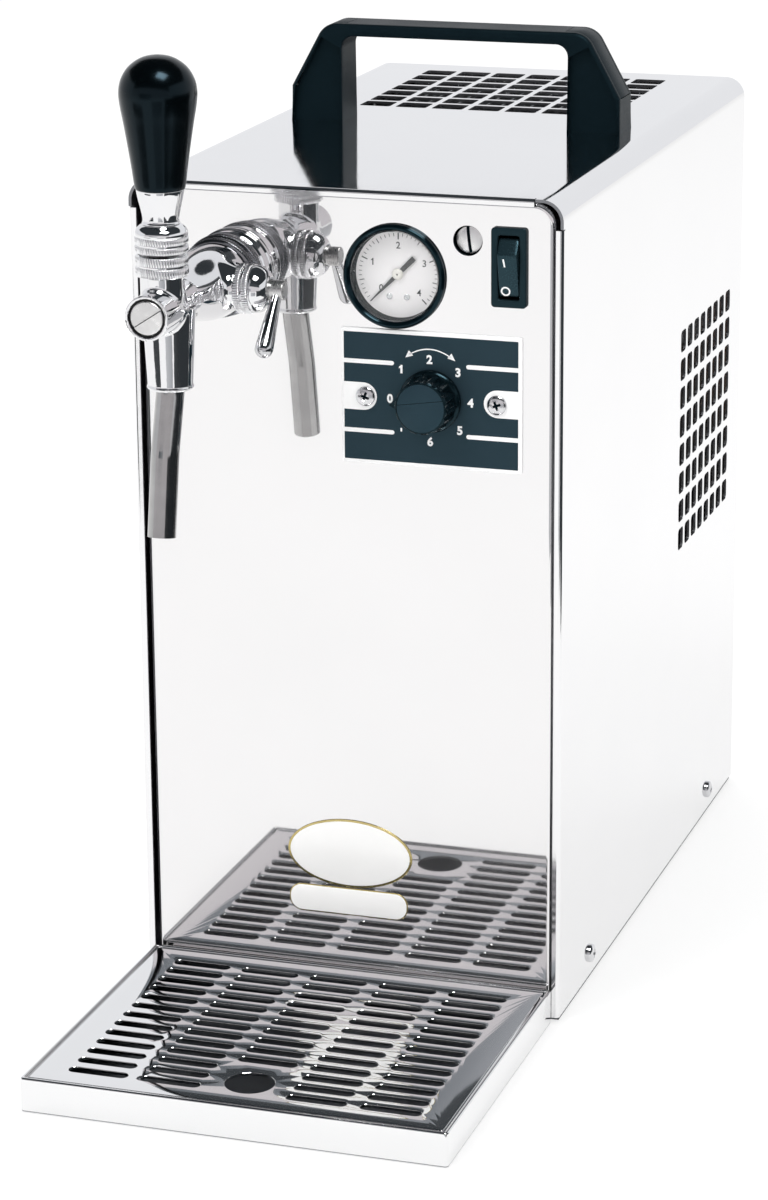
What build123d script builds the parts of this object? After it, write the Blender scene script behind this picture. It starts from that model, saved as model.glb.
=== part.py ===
from build123d import *
from math import cos, hypot, radians, sin, sqrt, tan
import os

os.makedirs("parts", exist_ok=True)

# Compact dry-contact beer cooler with one compensator tap, built in millimetres.
# +Z is up and Z = 0 is the surface the cabinet and the drip tray stand on. X = 0 is the middle of the
# cabinet, -Y is the front, and the origin is under the middle of the whole outline.

# ---------------------------------------------------------------- cabinet
cabinet_w = 175.0
cabinet_d = 305.0
cover_h = 330.0
sheet = 1.2
bend_r = 8.6
foot_h = 3.0
cover_lift = 1.8            # gap under the cover's lower edge
flange_w = 3.0              # folded strip round the cover's front edge
corner_notch = 3.0          # the folded strip stops this far before the bent corners
panel_recess = 2.0          # front panel behind the folded strip
panel_edge_gap = 2.3        # between the cover's inside and the panel's edge
panel_return = 9.0          # depth of the panel's folded sides
rear_recess = 1.0
slip = 0.3                  # clearance between neighbouring sheets and loose pieces
fit_gap = 0.05              # radial clearance of shafts and stems

# ---------------------------------------------------------------- vents
side_vent_rows, side_vent_columns = 8, 8
side_vent = (9.0, 9.4)
side_vent_corner = 2.0
side_vent_pitch = (11.9, 12.57)
side_vent_middle = (237.0, 191.6)       # distance behind the front edge, height
top_vent_rows, top_vent_columns = 7, 7
top_vent = (13.6, 12.2)
top_vent_corner = 1.2
top_vent_pitch = (16.2, 14.75)
top_vent_middle = 238.0                 # distance behind the front edge

# ---------------------------------------------------------------- base, feet and side screws
base_flange_h = 16.0
foot_r = 9.0
foot_inset = (17.0, 24.0)
side_screw_y = (48.0, 255.8)
side_screw_z = 11.2
side_screw_head = (3.8, 2.1)            # radius, height
side_screw_r = 1.9

# ---------------------------------------------------------------- carry handle
grip_half_w = 71.0
grip_depth = 20.0
grip_y = 155.0
grip_h = 41.0
grip_t = 5.2
leg_w = 22.3
leg_straight_h = 14.4
shoulder = (12.0, 36.2)                 # how far in and how high the sloped side ends
crown_r = 9.3
inner_corner_r = 5.0
grip_edge_r = 1.6
cap_t = 2.0
cap_wall = 3.0
cap_reach = 24.0                        # from the handle's side to the cap's upper joint
handle_bolt_r = 2.5
handle_bolt_head = (4.6, 2.6)
handle_bolt_depth = 10.0

# ---------------------------------------------------------------- control panel
plate_size = (72.6, 53.5)
plate_middle = (34.9, 251.3)
plate_t = 1.0
plate_screw_x = 26.4
plate_screw_head = (3.9, 1.9)
plate_screw_r = 1.7
knob_face_r = 10.5
knob_skirt_r = 12.2
knob_h = 13.6
knob_skirt_h = 3.0
knob_flutes = 14
knob_flute_r = 1.5
knob_pointer = 15.2                     # reach of the pointer from the shaft
knob_shaft_r = 3.0
knob_shaft_h = 10.0
thermostat_box = (30.0, 26.0, 34.0)     # width, depth, height
gauge_middle = (20.7, 299.4)
gauge_r = 20.5
gauge_front = 2.8                       # height of the bezel over the panel
gauge_sink = 4.0                        # the dial's seat behind the panel's face
gauge_window_r = 17.0
gauge_rim = 1.4
gauge_body_r = 18.4
gauge_body_d = 22.0
gauge_stem = (4.8, 14.0)
gauge_lens_t = 0.8
gauge_dial_t = 0.5
gauge_needle_l = 14.2
gauge_tail_l = 8.6
needle_start = 225.0                    # direction of the dial's zero, degrees from +X
gauge_sweep = 270.0
switch_middle = (65.95, 304.9)
switch_bezel = (13.9, 30.7)
switch_bezel_t = 2.0
switch_window = (8.4, 24.8)
switch_body = (12.4, 27.4)
switch_body_d = 18.0
rocker_ridge = (6.1, 2.7)               # above the rocker's middle, in front of the bezel
rocker_dip = 1.0                        # depth of its ends behind the bezel's face
rocker_pivot = 5.0                      # depth of the rocker's axis behind the bezel's face
rocker_pin_r = 1.2
screw_middle = (49.4, 314.2)
screw_well_r = 5.85
screw_head_r = 5.4
screw_sink = 2.0
screw_slot = (1.3, 1.4)
well_wall = 1.6
well_depth = 16.0

# ---------------------------------------------------------------- badges
badge_size = (52.4, 29.0)
badge_middle = (-0.2, 61.6)
strip_size = (50.0, 11.6)
strip_middle = (-1.0, 40.9)
badge_t = 0.5

# ---------------------------------------------------------------- tap
tap_x = -45.0
tap_z = 298.1
tap_front = 91.0                        # front end of the barrel before the cover's front edge
barrel_r = 8.5
barrel_bore = 6.0
shoulder_r = 14.0
shoulder_front, shoulder_back = 57.0, 18.4
neck_y = 74.0
neck_r = 8.2
neck_bore = 7.4
pivot_h = 15.9                          # lever pivot over the barrel's axis
outlet_y = 68.3
outlet_r = (9.5, 8.3)
outlet_drop = 33.0                      # outlet rim below the barrel's axis
outlet_cup = (7.3, 7.0)                 # radius and depth of the open rim
arm_y = 31.0
arm_r = 8.6
arm_end = 14.3                          # end of the side arm from the tap's middle plane
plug_r = 6.6
plug_t = 2.4
plug_slot = (1.2, 1.0)
seat_y = 60.0
seat_t = 2.0
seat_r = 4.6
rod_r = 4.2
rod_guide_l = 6.0
rod_floor = 1.3                         # the rod's notch goes this far under its axis
rod_notch = 3.2
seal_r = 5.6
seal_t = 3.0
shank_r = 11.0
shank_bore = 8.6
shank_end = 42.0                        # behind the front edge
shank_collar_r = 15.6
shank_flange_r = 16.2
shank_flange_t = 2.2
coupling_r = 16.0
coupling_front, coupling_back = 18.0, 8.4
nut_af = 32.0
nut_t = 7.0

# lever
nut_r = 9.9
nut_below, nut_above = 3.1, 5.1         # neck nut below and above the pivot
collar_r = 10.0
collar_top = 16.2
collar_bevel = (6.9, 3.0)
ball_r = 7.2
stem_r = 2.6
finger_r = 1.5
finger_tip_r = 2.4
finger_l = 14.3
ferrule_r = (6.6, 8.9)
ferrule_h = 11.6
handle_bottom_r = 9.4
handle_r = 14.4
handle_l = 50.2
handle_bore_depth = 22.0

# compensator
cap_r = 9.6
cap_ring_l = 6.2
cap_dome_l = 6.4
cap_dome_r = 5.6
hub_r = 3.8
hub_l = 7.6
lever_root = 4.7                        # the small lever's middle along the hub
hub_start = 24.9                        # from the tap's middle plane
hub_shaft_r = 2.5
pin_r = 1.2
pin_offset = 3.0
pin_play = 0.5
crank_r = 1.8
crank_t = 1.0
lever_angle = 40.5                      # small lever forward of straight down
lever_l = 28.6
lever_rod_r = (2.1, 3.5)
compensator_turn = 45.0
cone_stem_r = 4.8
cone_r = (4.5, 8.0)
cone_l = 30.0

# spout
spout_r = 5.35
spout_wall = 0.8
spout_bends = ((outlet_y, 31.0), (75.6, 55.0), (81.0, 85.4))    # before the front edge, below the axis
spout_bend_r = 24.0
spout_ease = 0.2                        # break of its lower edge

# ---------------------------------------------------------------- drip tray
tray_w = 169.2
tray_d = 141.0
tray_h = 13.7
tray_wall = 1.6
tray_floor = 1.2
tray_ledge = 3.4
tray_corner_r = 1.5
grille_t = 1.2
grille_sink = 0.4
grille_gap = 1.1
slot_size = (24.0, 5.0)
slot_pitch = (29.1, 9.3)
slot_rows, slot_columns = 13, 5
slot_first = 15.0                       # first row before the cover's front edge
finger_hole_r = 9.6
finger_hole_y = 119.0

# ---------------------------------------------------------------- cooling
block_size = (104.0, 66.0, 150.0)
block_skin = 16.0                       # insulation round the aluminium block
insulation_y = 54.0
insulation_floor = 12.0
insulation_lid = 14.0
stub_rise = 10.0
compressor_r = 56.0
compressor_h = 138.0
compressor_y = 234.0
compressor_lift = 10.0                  # its feet over the base plate, on rubber mounts
compressor_foot = (96.0, 96.0, 3.0)
compressor_seam = (1.6, 6.0)
mount_r = 7.0
mount_inset = 10.0
starter_size = (34.0, 16.0, 40.0)
condenser_size = (120.0, 40.0, 116.0)
condenser_y = 256.0
condenser_gap = 5.0                     # below the cover's top sheet
fin_count = 17
fin_t = 0.6
condenser_tube_r = 4.0
condenser_rows = 3
side_plate_t = 1.5
fan_frame_w = 112.0
fan_frame_d = 24.0
fan_ring_r = 51.0
fan_tip_gap = 1.5
fan_hub_r = 19.0
fan_blades = 5
fan_blade_t = 1.6
fan_blade_pitch = 32.0
fan_blade_w = 15.0
fan_motor_r = 17.0
fan_motor_l = 10.0
fan_strut_w = 6.0
fan_strut_t = 3.0
fan_shaft_r = 1.6
drier_r = 8.0
drier_l = 70.0
line_r = 2.5
line_bend = 5.0
capillary_r = 1.2
capillary_bend = 8.0
port_r = 3.6
suction_port = (34.0, 118.0)            # X, height
suction_run = 14.0                      # upright run behind the insulation
discharge_port = (20.0, 8.0)            # X, distance behind the compressor's middle
capillary_x = -40.0
lines_x = 67.5                          # upright runs beside the condenser

# ---------------------------------------------------------------- air pump and hoses
pump_size = (62.0, 38.0, 38.0)
pump_middle = (-2.0, 130.0)             # X, distance behind the front edge
pump_head = (40.0, 28.0, 20.0)
pump_foot = (6.0, 5.0)
nipple_l = 7.0
hose_r = 4.75
hose_bore = 3.2
hose_bend = 11.0
hose_x = -77.0                          # both long hoses run back along the left side
beer_out_y = 87.0
beer_in_y = 118.0
air_hose_r = 3.0
air_hose_bore = 2.0
air_bend = 10.0
check_valve_r = 6.0
check_valve_l = 24.0
check_valve_y = 180.0

# ---------------------------------------------------------------- rear fittings
beer_inlet_z = 205.0
fitting_flange = (7.5, 3.0)
beer_stub = (4.76, 18.0)
air_stub = (4.0, 18.0)
barb_wall = 0.8
fitting_nut = (14.0, 4.0)
fitting_tail = 8.0
gland_middle = (62.0, 40.0)
gland_r = 9.0
gland_l = 12.0
gland_neck_r = 7.0
gland_bore = 3.6
gland_nut_t = 4.5

# ---------------------------------------------------------------- worked out
rear_reach = max(beer_stub[1], air_stub[1]) + fitting_flange[1] - rear_recess
front_y = (tray_d - cabinet_d - rear_reach) / 2
side_x = cabinet_w / 2
inside_x = side_x - sheet
cover_top = cover_lift + cover_h
inside_top = cover_top - sheet
panel_x = inside_x - panel_edge_gap
panel_y = front_y + panel_recess
panel_back = panel_y + sheet
rear_y = front_y + cabinet_d - rear_recess
rear_inside = rear_y - sheet
base_top = foot_h + sheet
pivot_z = tap_z + pivot_h
nut_reach = hypot(nut_r, nut_above)
cup_r = nut_reach + slip
beer_barb = hose_bore - fit_gap
air_barb = air_hose_bore - fit_gap
FRONT, BACK = (0, -1, 0), (0, 1, 0)
RIGHT, LEFT = (1, 0, 0), (-1, 0, 0)
UP, DOWN = (0, 0, 1), (0, 0, -1)


# ---------------------------------------------------------------- helpers
def behind(distance):
    """Y of a place this far behind the cover's front edge."""
    return front_y + distance


def block(x, y, z):
    """Box between (low, high) pairs along X, Y and Z."""
    size = [high - low for low, high in (x, y, z)]
    middle = [(high + low) / 2 for low, high in (x, y, z)]
    return Pos(*middle) * Box(*size)


def around(middle, width):
    """(low, high) pair of a width centred on a value."""
    return middle - width / 2, middle + width / 2


def facing(origin, direction):
    """Location whose local +Z looks along a direction; local +X is +X where that is possible."""
    across = (0, 1, 0) if abs(direction[0]) > 0.9 else (1, 0, 0)
    return Plane(origin=origin, x_dir=across, z_dir=direction).location


def turned(outline, origin, direction):
    """Solid of revolution; the outline holds (radius, distance) points, distance along the direction."""
    face = make_face(Polyline([(r, 0, d) for r, d in outline], close=True))
    return facing(origin, direction) * revolve(face, Axis.Z)


def rod(radius, origin, direction, length):
    """Plain cylinder from an origin along a direction."""
    return facing(origin, direction) * Cylinder(radius, length, align=(Align.CENTER, Align.CENTER, Align.MIN))


def pipe(points, radius, bend, bore=0.0):
    """Tube along straight runs joined by tangent arcs."""
    path = FilletPolyline(*points, radius=bend) if len(points) > 2 else Line(*points)
    start = Plane(origin=path @ 0, z_dir=path % 0)
    section = start * Circle(radius)
    if bore:
        section -= start * Circle(bore)
    return sweep(section, path=path)


def nut(across_flats, thickness, bore, origin, direction):
    """Hexagon nut."""
    hexagon = RegularPolygon(across_flats / 2, 6, major_radius=False) - Circle(bore)
    return facing(origin, direction) * extrude(hexagon, thickness)


def pan_screw(head, shank_radius, shank_length, origin, direction):
    """Pan-head screw; the origin is under the head and the direction points out of the head."""
    radius, height = head
    outline = [
        (0, -shank_length), (shank_radius, -shank_length), (shank_radius, 0), (radius, 0),
        (radius, height * 0.45), (radius * 0.72, height * 0.85), (0, height),
    ]
    return turned(outline, origin, direction)


def save(**nodes):
    """Write each node, one solid or a list of solids, to its own file."""
    for name, shape in nodes.items():
        solids = shape if isinstance(shape, list) else [shape]
        flat = [solid for item in solids for solid in item.solids()]
        export_step(flat[0] if len(flat) == 1 else Compound(children=flat), f"parts/{name}.step")


# ---------------------------------------------------------------- cover, panels and base
def side_vents():
    """Rounded square holes through the right side."""
    grid = GridLocations(*side_vent_pitch, side_vent_columns, side_vent_rows)
    slots = [place * RectangleRounded(*side_vent, side_vent_corner) for place in grid]
    middle_y, middle_z = side_vent_middle
    plane = Plane(origin=(side_x - 2 * sheet, behind(middle_y), middle_z), x_dir=BACK, z_dir=RIGHT)
    return [plane.location * extrude(slot, 4 * sheet) for slot in slots]


def top_vents():
    """Rounded square holes through the top."""
    grid = GridLocations(*top_vent_pitch, top_vent_columns, top_vent_rows)
    slots = [place * RectangleRounded(*top_vent, top_vent_corner) for place in grid]
    lift = Pos(0, behind(top_vent_middle), cover_top - 2 * sheet)
    return [lift * extrude(slot, 4 * sheet) for slot in slots]


def hood_profile(inset):
    """Upright section of the cover, as far as an inset inside its outline, open below."""
    half, top, radius = side_x - inset, cover_top - inset, bend_r - inset
    lines = Polyline((-half, cover_lift), (-half, top), (half, top), (half, cover_lift), close=True)
    face = make_face(lines)
    return fillet(face.vertices().sort_by(Axis.Y)[-2:], radius)


def cover():
    """One sheet bent over the top and both sides, with a folded strip round its front edge."""
    upright = Plane(origin=(0, front_y, 0), x_dir=RIGHT, z_dir=FRONT)
    outer = upright.location * extrude(hood_profile(0), -cabinet_d)
    inner = upright.location * extrude(hood_profile(sheet), -cabinet_d)
    inner += block((-inside_x, inside_x), (front_y, behind(cabinet_d)), (cover_lift - sheet, foot_h + sheet))
    shell = outer - inner
    strip_y = (front_y, front_y + sheet)
    strip_top = cover_top - bend_r - corner_notch
    for side in (-1, 1):
        edge = sorted((side * (side_x - flange_w), side * inside_x))
        shell += block(edge, strip_y, (cover_lift, strip_top))
    half = side_x - bend_r - corner_notch
    shell += block((-half, half), strip_y, (cover_top - flange_w, inside_top))
    holes = side_vents() + top_vents()
    for y in side_screw_y:
        holes.append(rod(side_screw_r + fit_gap, (-side_x - sheet, behind(y), side_screw_z), RIGHT,
                         cabinet_w + 2 * sheet))
    for x in handle_bolt_x():
        holes.append(rod(handle_bolt_r + fit_gap, (x, behind(grip_y), inside_top - sheet), UP, 3 * sheet))
    return shell - holes


def front_panel():
    """Polished front sheet with folded sides and the holes of everything that it carries."""
    z = (base_top, inside_top - slip)
    sheet_front = block((-panel_x, panel_x), (panel_y, panel_back), z)
    sheet_front = fillet(sheet_front.edges().filter_by(Axis.Y).sort_by(Axis.Z)[-2:], bend_r)
    for side in (-1, 1):
        edge = sorted((side * panel_x, side * (panel_x - sheet)))
        sheet_front += block(edge, (panel_y, panel_y + panel_return), (z[0], z[1] - bend_r))
    holes = [
        rod(shank_r + fit_gap, (tap_x, front_y, tap_z), BACK, panel_return),
        rod(gauge_body_r + fit_gap, (gauge_middle[0], front_y, gauge_middle[1]), BACK, panel_return),
        rod(knob_shaft_r + 1, (plate_middle[0], front_y, plate_middle[1]), BACK, panel_return),
        rod(screw_well_r, (screw_middle[0], front_y, screw_middle[1]), BACK, panel_return),
        block(around(switch_middle[0], switch_body[0] + slip), (front_y, panel_y + panel_return / 2),
              around(switch_middle[1], switch_body[1] + slip)),
    ]
    for side in (-1, 1):
        x = plate_middle[0] + side * plate_screw_x
        holes.append(rod(plate_screw_r + fit_gap, (x, front_y, plate_middle[1]), BACK, panel_return / 2))
    return sheet_front - holes


def base_plate():
    """Sheet that carries everything, with folded sides for the cover's screws and a fold behind each panel."""
    half = inside_x - slip
    y = (panel_back, rear_inside)
    plate = block((-half, half), y, (foot_h, base_top))
    for side in (-1, 1):
        edge = sorted((side * half, side * (half - sheet)))
        fold_y = (panel_y + panel_return + slip, rear_inside - slip)
        plate += block(edge, fold_y, (base_top, foot_h + base_flange_h))
    middle = panel_x - panel_return
    plate += block((-middle, middle), (y[0], y[0] + sheet), (base_top, foot_h + base_flange_h))
    plate += block((-middle, middle), (y[1] - sheet, y[1]), (base_top, foot_h + base_flange_h))
    plate += block((-panel_x, panel_x), (panel_y, panel_back), (foot_h, base_top))
    plate += block((-half, half), (rear_inside, rear_y), (foot_h, base_top))
    for y_screw in side_screw_y:
        plate -= rod(side_screw_r, (-side_x, behind(y_screw), side_screw_z), RIGHT, cabinet_w)
    return plate


def rear_panel():
    """Plain sheet between the cover's sides, with the holes of the rear fittings."""
    half = inside_x - slip
    panel = block((-half, half), (rear_inside, rear_y), (base_top, inside_top - slip))
    corners = panel.edges().filter_by(Axis.Y).sort_by(Axis.Z)[-2:]
    panel = fillet(corners, bend_r)
    through = 4 * sheet
    start = rear_inside - sheet
    panel -= rod(beer_stub[0] + fit_gap, (hose_x, start, beer_inlet_z), BACK, through)
    panel -= rod(air_stub[0] + fit_gap, (hose_x, start, nipple_z()), BACK, through)
    panel -= rod(gland_neck_r + fit_gap, (gland_middle[0], start, gland_middle[1]), BACK, through)
    return panel


def feet():
    """Four round rubber pads under the base plate."""
    pads = []
    for x in (-inside_x + foot_inset[0], inside_x - foot_inset[0]):
        for y in (foot_inset[1], cabinet_d - foot_inset[1]):
            pads.append(rod(foot_r, (x, behind(y), 0), UP, foot_h))
    return pads


def cover_screws():
    """Pan-head screws that hold the cover to the base's folded sides."""
    screws = []
    for side in (-1, 1):
        for y in side_screw_y:
            screws.append(pan_screw(side_screw_head, side_screw_r - fit_gap, sheet * 2 + slip,
                                    (side * side_x, behind(y), side_screw_z), (side, 0, 0)))
    return screws


# ---------------------------------------------------------------- carry handle
def handle_bolt_x():
    """X of both handle bolts, in the middle of each leg."""
    reach = grip_half_w - leg_w / 2
    return -reach, reach


def grip_outline(inset):
    """Outer outline of the handle's bridge, a given distance inside its surface."""
    half, top = grip_half_w - inset, grip_h - inset
    lean = shoulder[0] / (shoulder[1] - leg_straight_h)
    crown_x = half - lean * (top - leg_straight_h)
    corners = ((crown_x, top), (-crown_x, top), (-half, leg_straight_h), (-half, 0), (half, 0), (half, leg_straight_h))
    outline = make_face(Polyline(*corners, close=True))
    return fillet(outline.vertices().sort_by(Axis.Y)[-2:], crown_r - inset)


def grip_rim(bridge):
    """Edges round the front and back of the handle's outside, down to its feet."""
    def on_rim(edge):
        middle = edge.center()
        outside = abs(middle.X) > grip_half_w - leg_w + 1 or middle.Z > cover_top + grip_h - 1
        flat = abs(abs(middle.Y - behind(grip_y)) - grip_depth / 2) < 0.01
        return outside and flat and middle.Z > cover_top + 1

    return bridge.edges().filter_by(on_rim)


def carry_handle():
    """Bridge handle with sloped shoulders; a cap closes the groove over each shoulder."""
    upright = Plane(origin=(0, behind(grip_y) + grip_depth / 2, cover_top), x_dir=RIGHT, z_dir=FRONT).location
    gap_half = grip_half_w - leg_w
    window = Pos(0, (grip_h - grip_t) / 2) * Rectangle(2 * gap_half, grip_h - grip_t)
    window = fillet(window.vertices().sort_by(Axis.Y)[-2:], inner_corner_r)
    bridge = upright * extrude(grip_outline(0) - window, grip_depth)
    bridge = fillet(grip_rim(bridge), grip_edge_r)

    groove = Plane(origin=(0, behind(grip_y) + grip_depth / 2 - cap_wall, cover_top), x_dir=RIGHT, z_dir=FRONT)
    band = groove.location * extrude(grip_outline(0) - grip_outline(cap_t), grip_depth - 2 * cap_wall)
    reach_x = grip_half_w - cap_reach
    caps = []
    for side in (-1, 1):
        zone_x = sorted((side * reach_x, side * (grip_half_w + 1)))
        zone = block(zone_x, around(behind(grip_y), grip_depth), (cover_top + leg_straight_h, cover_top + grip_h + 1))
        bridge -= band & zone
        trim = block(sorted((side * (reach_x + slip), side * (grip_half_w + 1))),
                     around(behind(grip_y), grip_depth - 2 * cap_wall - slip),
                     (cover_top + leg_straight_h + slip / 2, cover_top + grip_h + 1))
        caps.append(band & trim)
    for x in handle_bolt_x():
        bridge -= rod(handle_bolt_r, (x, behind(grip_y), cover_top), UP, handle_bolt_depth)
    return bridge, caps


def handle_bolts():
    """Bolts from inside the cover up into the handle's legs."""
    length = sheet + handle_bolt_depth - slip
    return [pan_screw(handle_bolt_head, handle_bolt_r - fit_gap, length, (x, behind(grip_y), inside_top), DOWN)
            for x in handle_bolt_x()]


# ---------------------------------------------------------------- thermostat
def thermostat():
    """Label plate, its screws, the thermostat behind the panel and the fluted knob with its pointer."""
    x, z = plate_middle
    plate = block(around(x, plate_size[0]), (panel_y - plate_t, panel_y), around(z, plate_size[1]))
    plate -= rod(knob_shaft_r + 1, (x, panel_y - 2 * plate_t, z), BACK, 4 * plate_t)
    screws = []
    for side in (-1, 1):
        place = (x + side * plate_screw_x, panel_y - plate_t, z)
        plate -= rod(plate_screw_r + fit_gap, (place[0], panel_y - 2 * plate_t, z), BACK, 4 * plate_t)
        screws.append(pan_screw(plate_screw_head, plate_screw_r, plate_t + 3 * sheet, place, FRONT))

    width, depth, height = thermostat_box
    body = block(around(x, width), (panel_back, panel_back + depth), around(z, height))
    shaft_front = panel_y - plate_t - knob_shaft_h
    body += rod(knob_shaft_r, (x, shaft_front, z), BACK, panel_back - shaft_front)
    return plate, screws, body


def thermostat_knob():
    """Knob with a skirt, flutes round the grip and a pointer on the skirt's left."""
    x, z = plate_middle
    seat_y_knob = panel_y - plate_t - slip
    rise = knob_h - knob_skirt_h
    outline = [
        (0, 0), (knob_skirt_r, 0), (knob_skirt_r, knob_skirt_h - 0.8), (knob_skirt_r - 0.8, knob_skirt_h),
        (knob_face_r + 0.7, knob_skirt_h), (knob_face_r, knob_h - 0.8), (knob_face_r - 0.8, knob_h), (0, knob_h),
    ]
    knob = turned(outline, (0, 0, 0), UP)
    tip = Polyline((-knob_skirt_r + 1.5, -3.4), (-knob_pointer, 0), (-knob_skirt_r + 1.5, 3.4), close=True)
    knob += extrude(make_face(tip), knob_skirt_h - 0.8)
    flute = Pos(0, 0, knob_skirt_h) * Cylinder(knob_flute_r, rise, align=(Align.CENTER, Align.CENTER, Align.MIN))
    knob -= [place * flute for place in PolarLocations(knob_face_r + knob_flute_r * 0.62, knob_flutes)]
    knob -= Cylinder(knob_shaft_r + fit_gap, knob_shaft_h, align=(Align.CENTER, Align.CENTER, Align.MIN))
    return facing((x, seat_y_knob, z), FRONT) * knob


# ---------------------------------------------------------------- pressure gauge
def gauge():
    """Bezel and case in one, dial, lens and a needle on the dial's zero."""
    x, z = gauge_middle
    back = gauge_front + sheet + gauge_body_d
    floor = gauge_front + gauge_sink
    outline = [
        (gauge_window_r + 0.6, 0), (gauge_r - gauge_rim, 0), (gauge_r, gauge_rim), (gauge_r, gauge_front),
        (gauge_body_r, gauge_front), (gauge_body_r, back), (gauge_stem[0], back),
        (gauge_stem[0], back + gauge_stem[1]), (air_barb, back + gauge_stem[1]),
        (air_barb, back + gauge_stem[1] + nipple_l), (0, back + gauge_stem[1] + nipple_l), (0, floor),
        (gauge_window_r, floor),
        (gauge_window_r, gauge_rim),
    ]
    origin = (x, panel_y - gauge_front, z)
    case = turned(outline, origin, BACK)
    dial_y = panel_y + gauge_sink - gauge_dial_t
    dial = rod(gauge_window_r - fit_gap, (x, dial_y, z), BACK, gauge_dial_t)
    lens_y = panel_y - gauge_front + gauge_rim
    lens = rod(gauge_window_r - fit_gap, (x, lens_y, z), BACK, gauge_lens_t)

    needle_y = dial_y - 1.4
    tip = make_face(Polyline((gauge_needle_l, 0), (0, 1.1), (-gauge_tail_l, 1.1), (-gauge_tail_l, -1.1), (0, -1.1),
                             close=True))
    needle = extrude(tip, 0.5) + Cylinder(2.1, 1.4, align=(Align.CENTER, Align.CENTER, Align.MIN))
    needle += Pos(0, 0, -1.3) * Cylinder(0.6, 1.5, align=(Align.CENTER, Align.CENTER, Align.MIN))
    needle = facing((x, needle_y, z), FRONT) * (Rot(0, 0, needle_start) * needle)
    return case, dial, lens, needle


# ---------------------------------------------------------------- rocker switch
def rocker_switch():
    """Snap-in housing and a wedge-shaped rocker with its lower half pressed in."""
    x, z = switch_middle
    bezel_y = panel_y - switch_bezel_t
    housing = block(around(x, switch_bezel[0]), (bezel_y, panel_y), around(z, switch_bezel[1]))
    upright = housing.edges().filter_by(Axis.Y)
    housing = fillet(upright, 1.2)
    housing += block(around(x, switch_body[0]), (panel_y, panel_y + switch_body_d), around(z, switch_body[1]))
    axis_y = bezel_y + rocker_pivot
    well = block(around(x, switch_window[0]), (bezel_y - 1, axis_y + 5), around(z, switch_window[1]))
    housing -= well
    for side in (-1, 1):
        housing -= rod(rocker_pin_r + fit_gap, (x, axis_y, z), (side, 0, 0), switch_window[0] / 2 + 1.2)

    half_z = switch_window[1] / 2 - 4 * slip
    end = rocker_dip - rocker_pivot
    face = Polyline(
        (-half_z, end), (rocker_ridge[0], -rocker_pivot - rocker_ridge[1]), (half_z, end),
        (half_z - 0.4, end + 2.0), (3.4, 2.6), (-3.4, 2.6), (-half_z + 0.4, end + 2.0),
        close=True)
    rocker = extrude(make_face(face), (switch_window[0] / 2 - slip), both=True)
    rocker += Pos(0, 0, -switch_window[0] / 2 - 1) * Cylinder(
        rocker_pin_r, switch_window[0] + 2, align=(Align.CENTER, Align.CENTER, Align.MIN))
    section = Plane(origin=(x, axis_y, z), x_dir=UP, z_dir=LEFT).location
    return housing, section * rocker


# ---------------------------------------------------------------- pressure screw
def pressure_screw():
    """Slotted screw sunk in a sleeve behind a hole in the panel."""
    x, z = screw_middle
    origin = (x, panel_y, z)
    wall_r = screw_well_r + well_wall
    sleeve = turned([(screw_well_r, sheet), (wall_r, sheet), (wall_r, well_depth), (0, well_depth),
                     (0, well_depth - 2), (screw_well_r, well_depth - 2)], origin, BACK)
    head_t = 2.2
    outline = [(0, 0), (screw_head_r - 0.4, 0), (screw_head_r, 0.4), (screw_head_r, head_t),
               (screw_head_r * 0.6, head_t), (screw_head_r * 0.6, well_depth - 2 - screw_sink - slip),
               (0, well_depth - 2 - screw_sink - slip)]
    screw = turned(outline, (0, 0, 0), DOWN)
    screw -= Pos(0, 0, -screw_slot[1]) * Box(screw_slot[0], 3 * screw_head_r, 3,
                                            align=(Align.CENTER, Align.CENTER, Align.MIN))
    return sleeve, facing((x, panel_y + screw_sink, z), FRONT) * (Rot(0, 0, 7) * screw)


# ---------------------------------------------------------------- badges
def badges():
    """Blank oval badge and the blank name strip below it."""
    oval = extrude(Ellipse(badge_size[0] / 2, badge_size[1] / 2), badge_t)
    strip = extrude(RectangleRounded(*strip_size, strip_size[1] * 0.45), badge_t)
    return [facing((badge_middle[0], panel_y, badge_middle[1]), FRONT) * oval,
            facing((strip_middle[0], panel_y, strip_middle[1]), FRONT) * strip]


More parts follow.
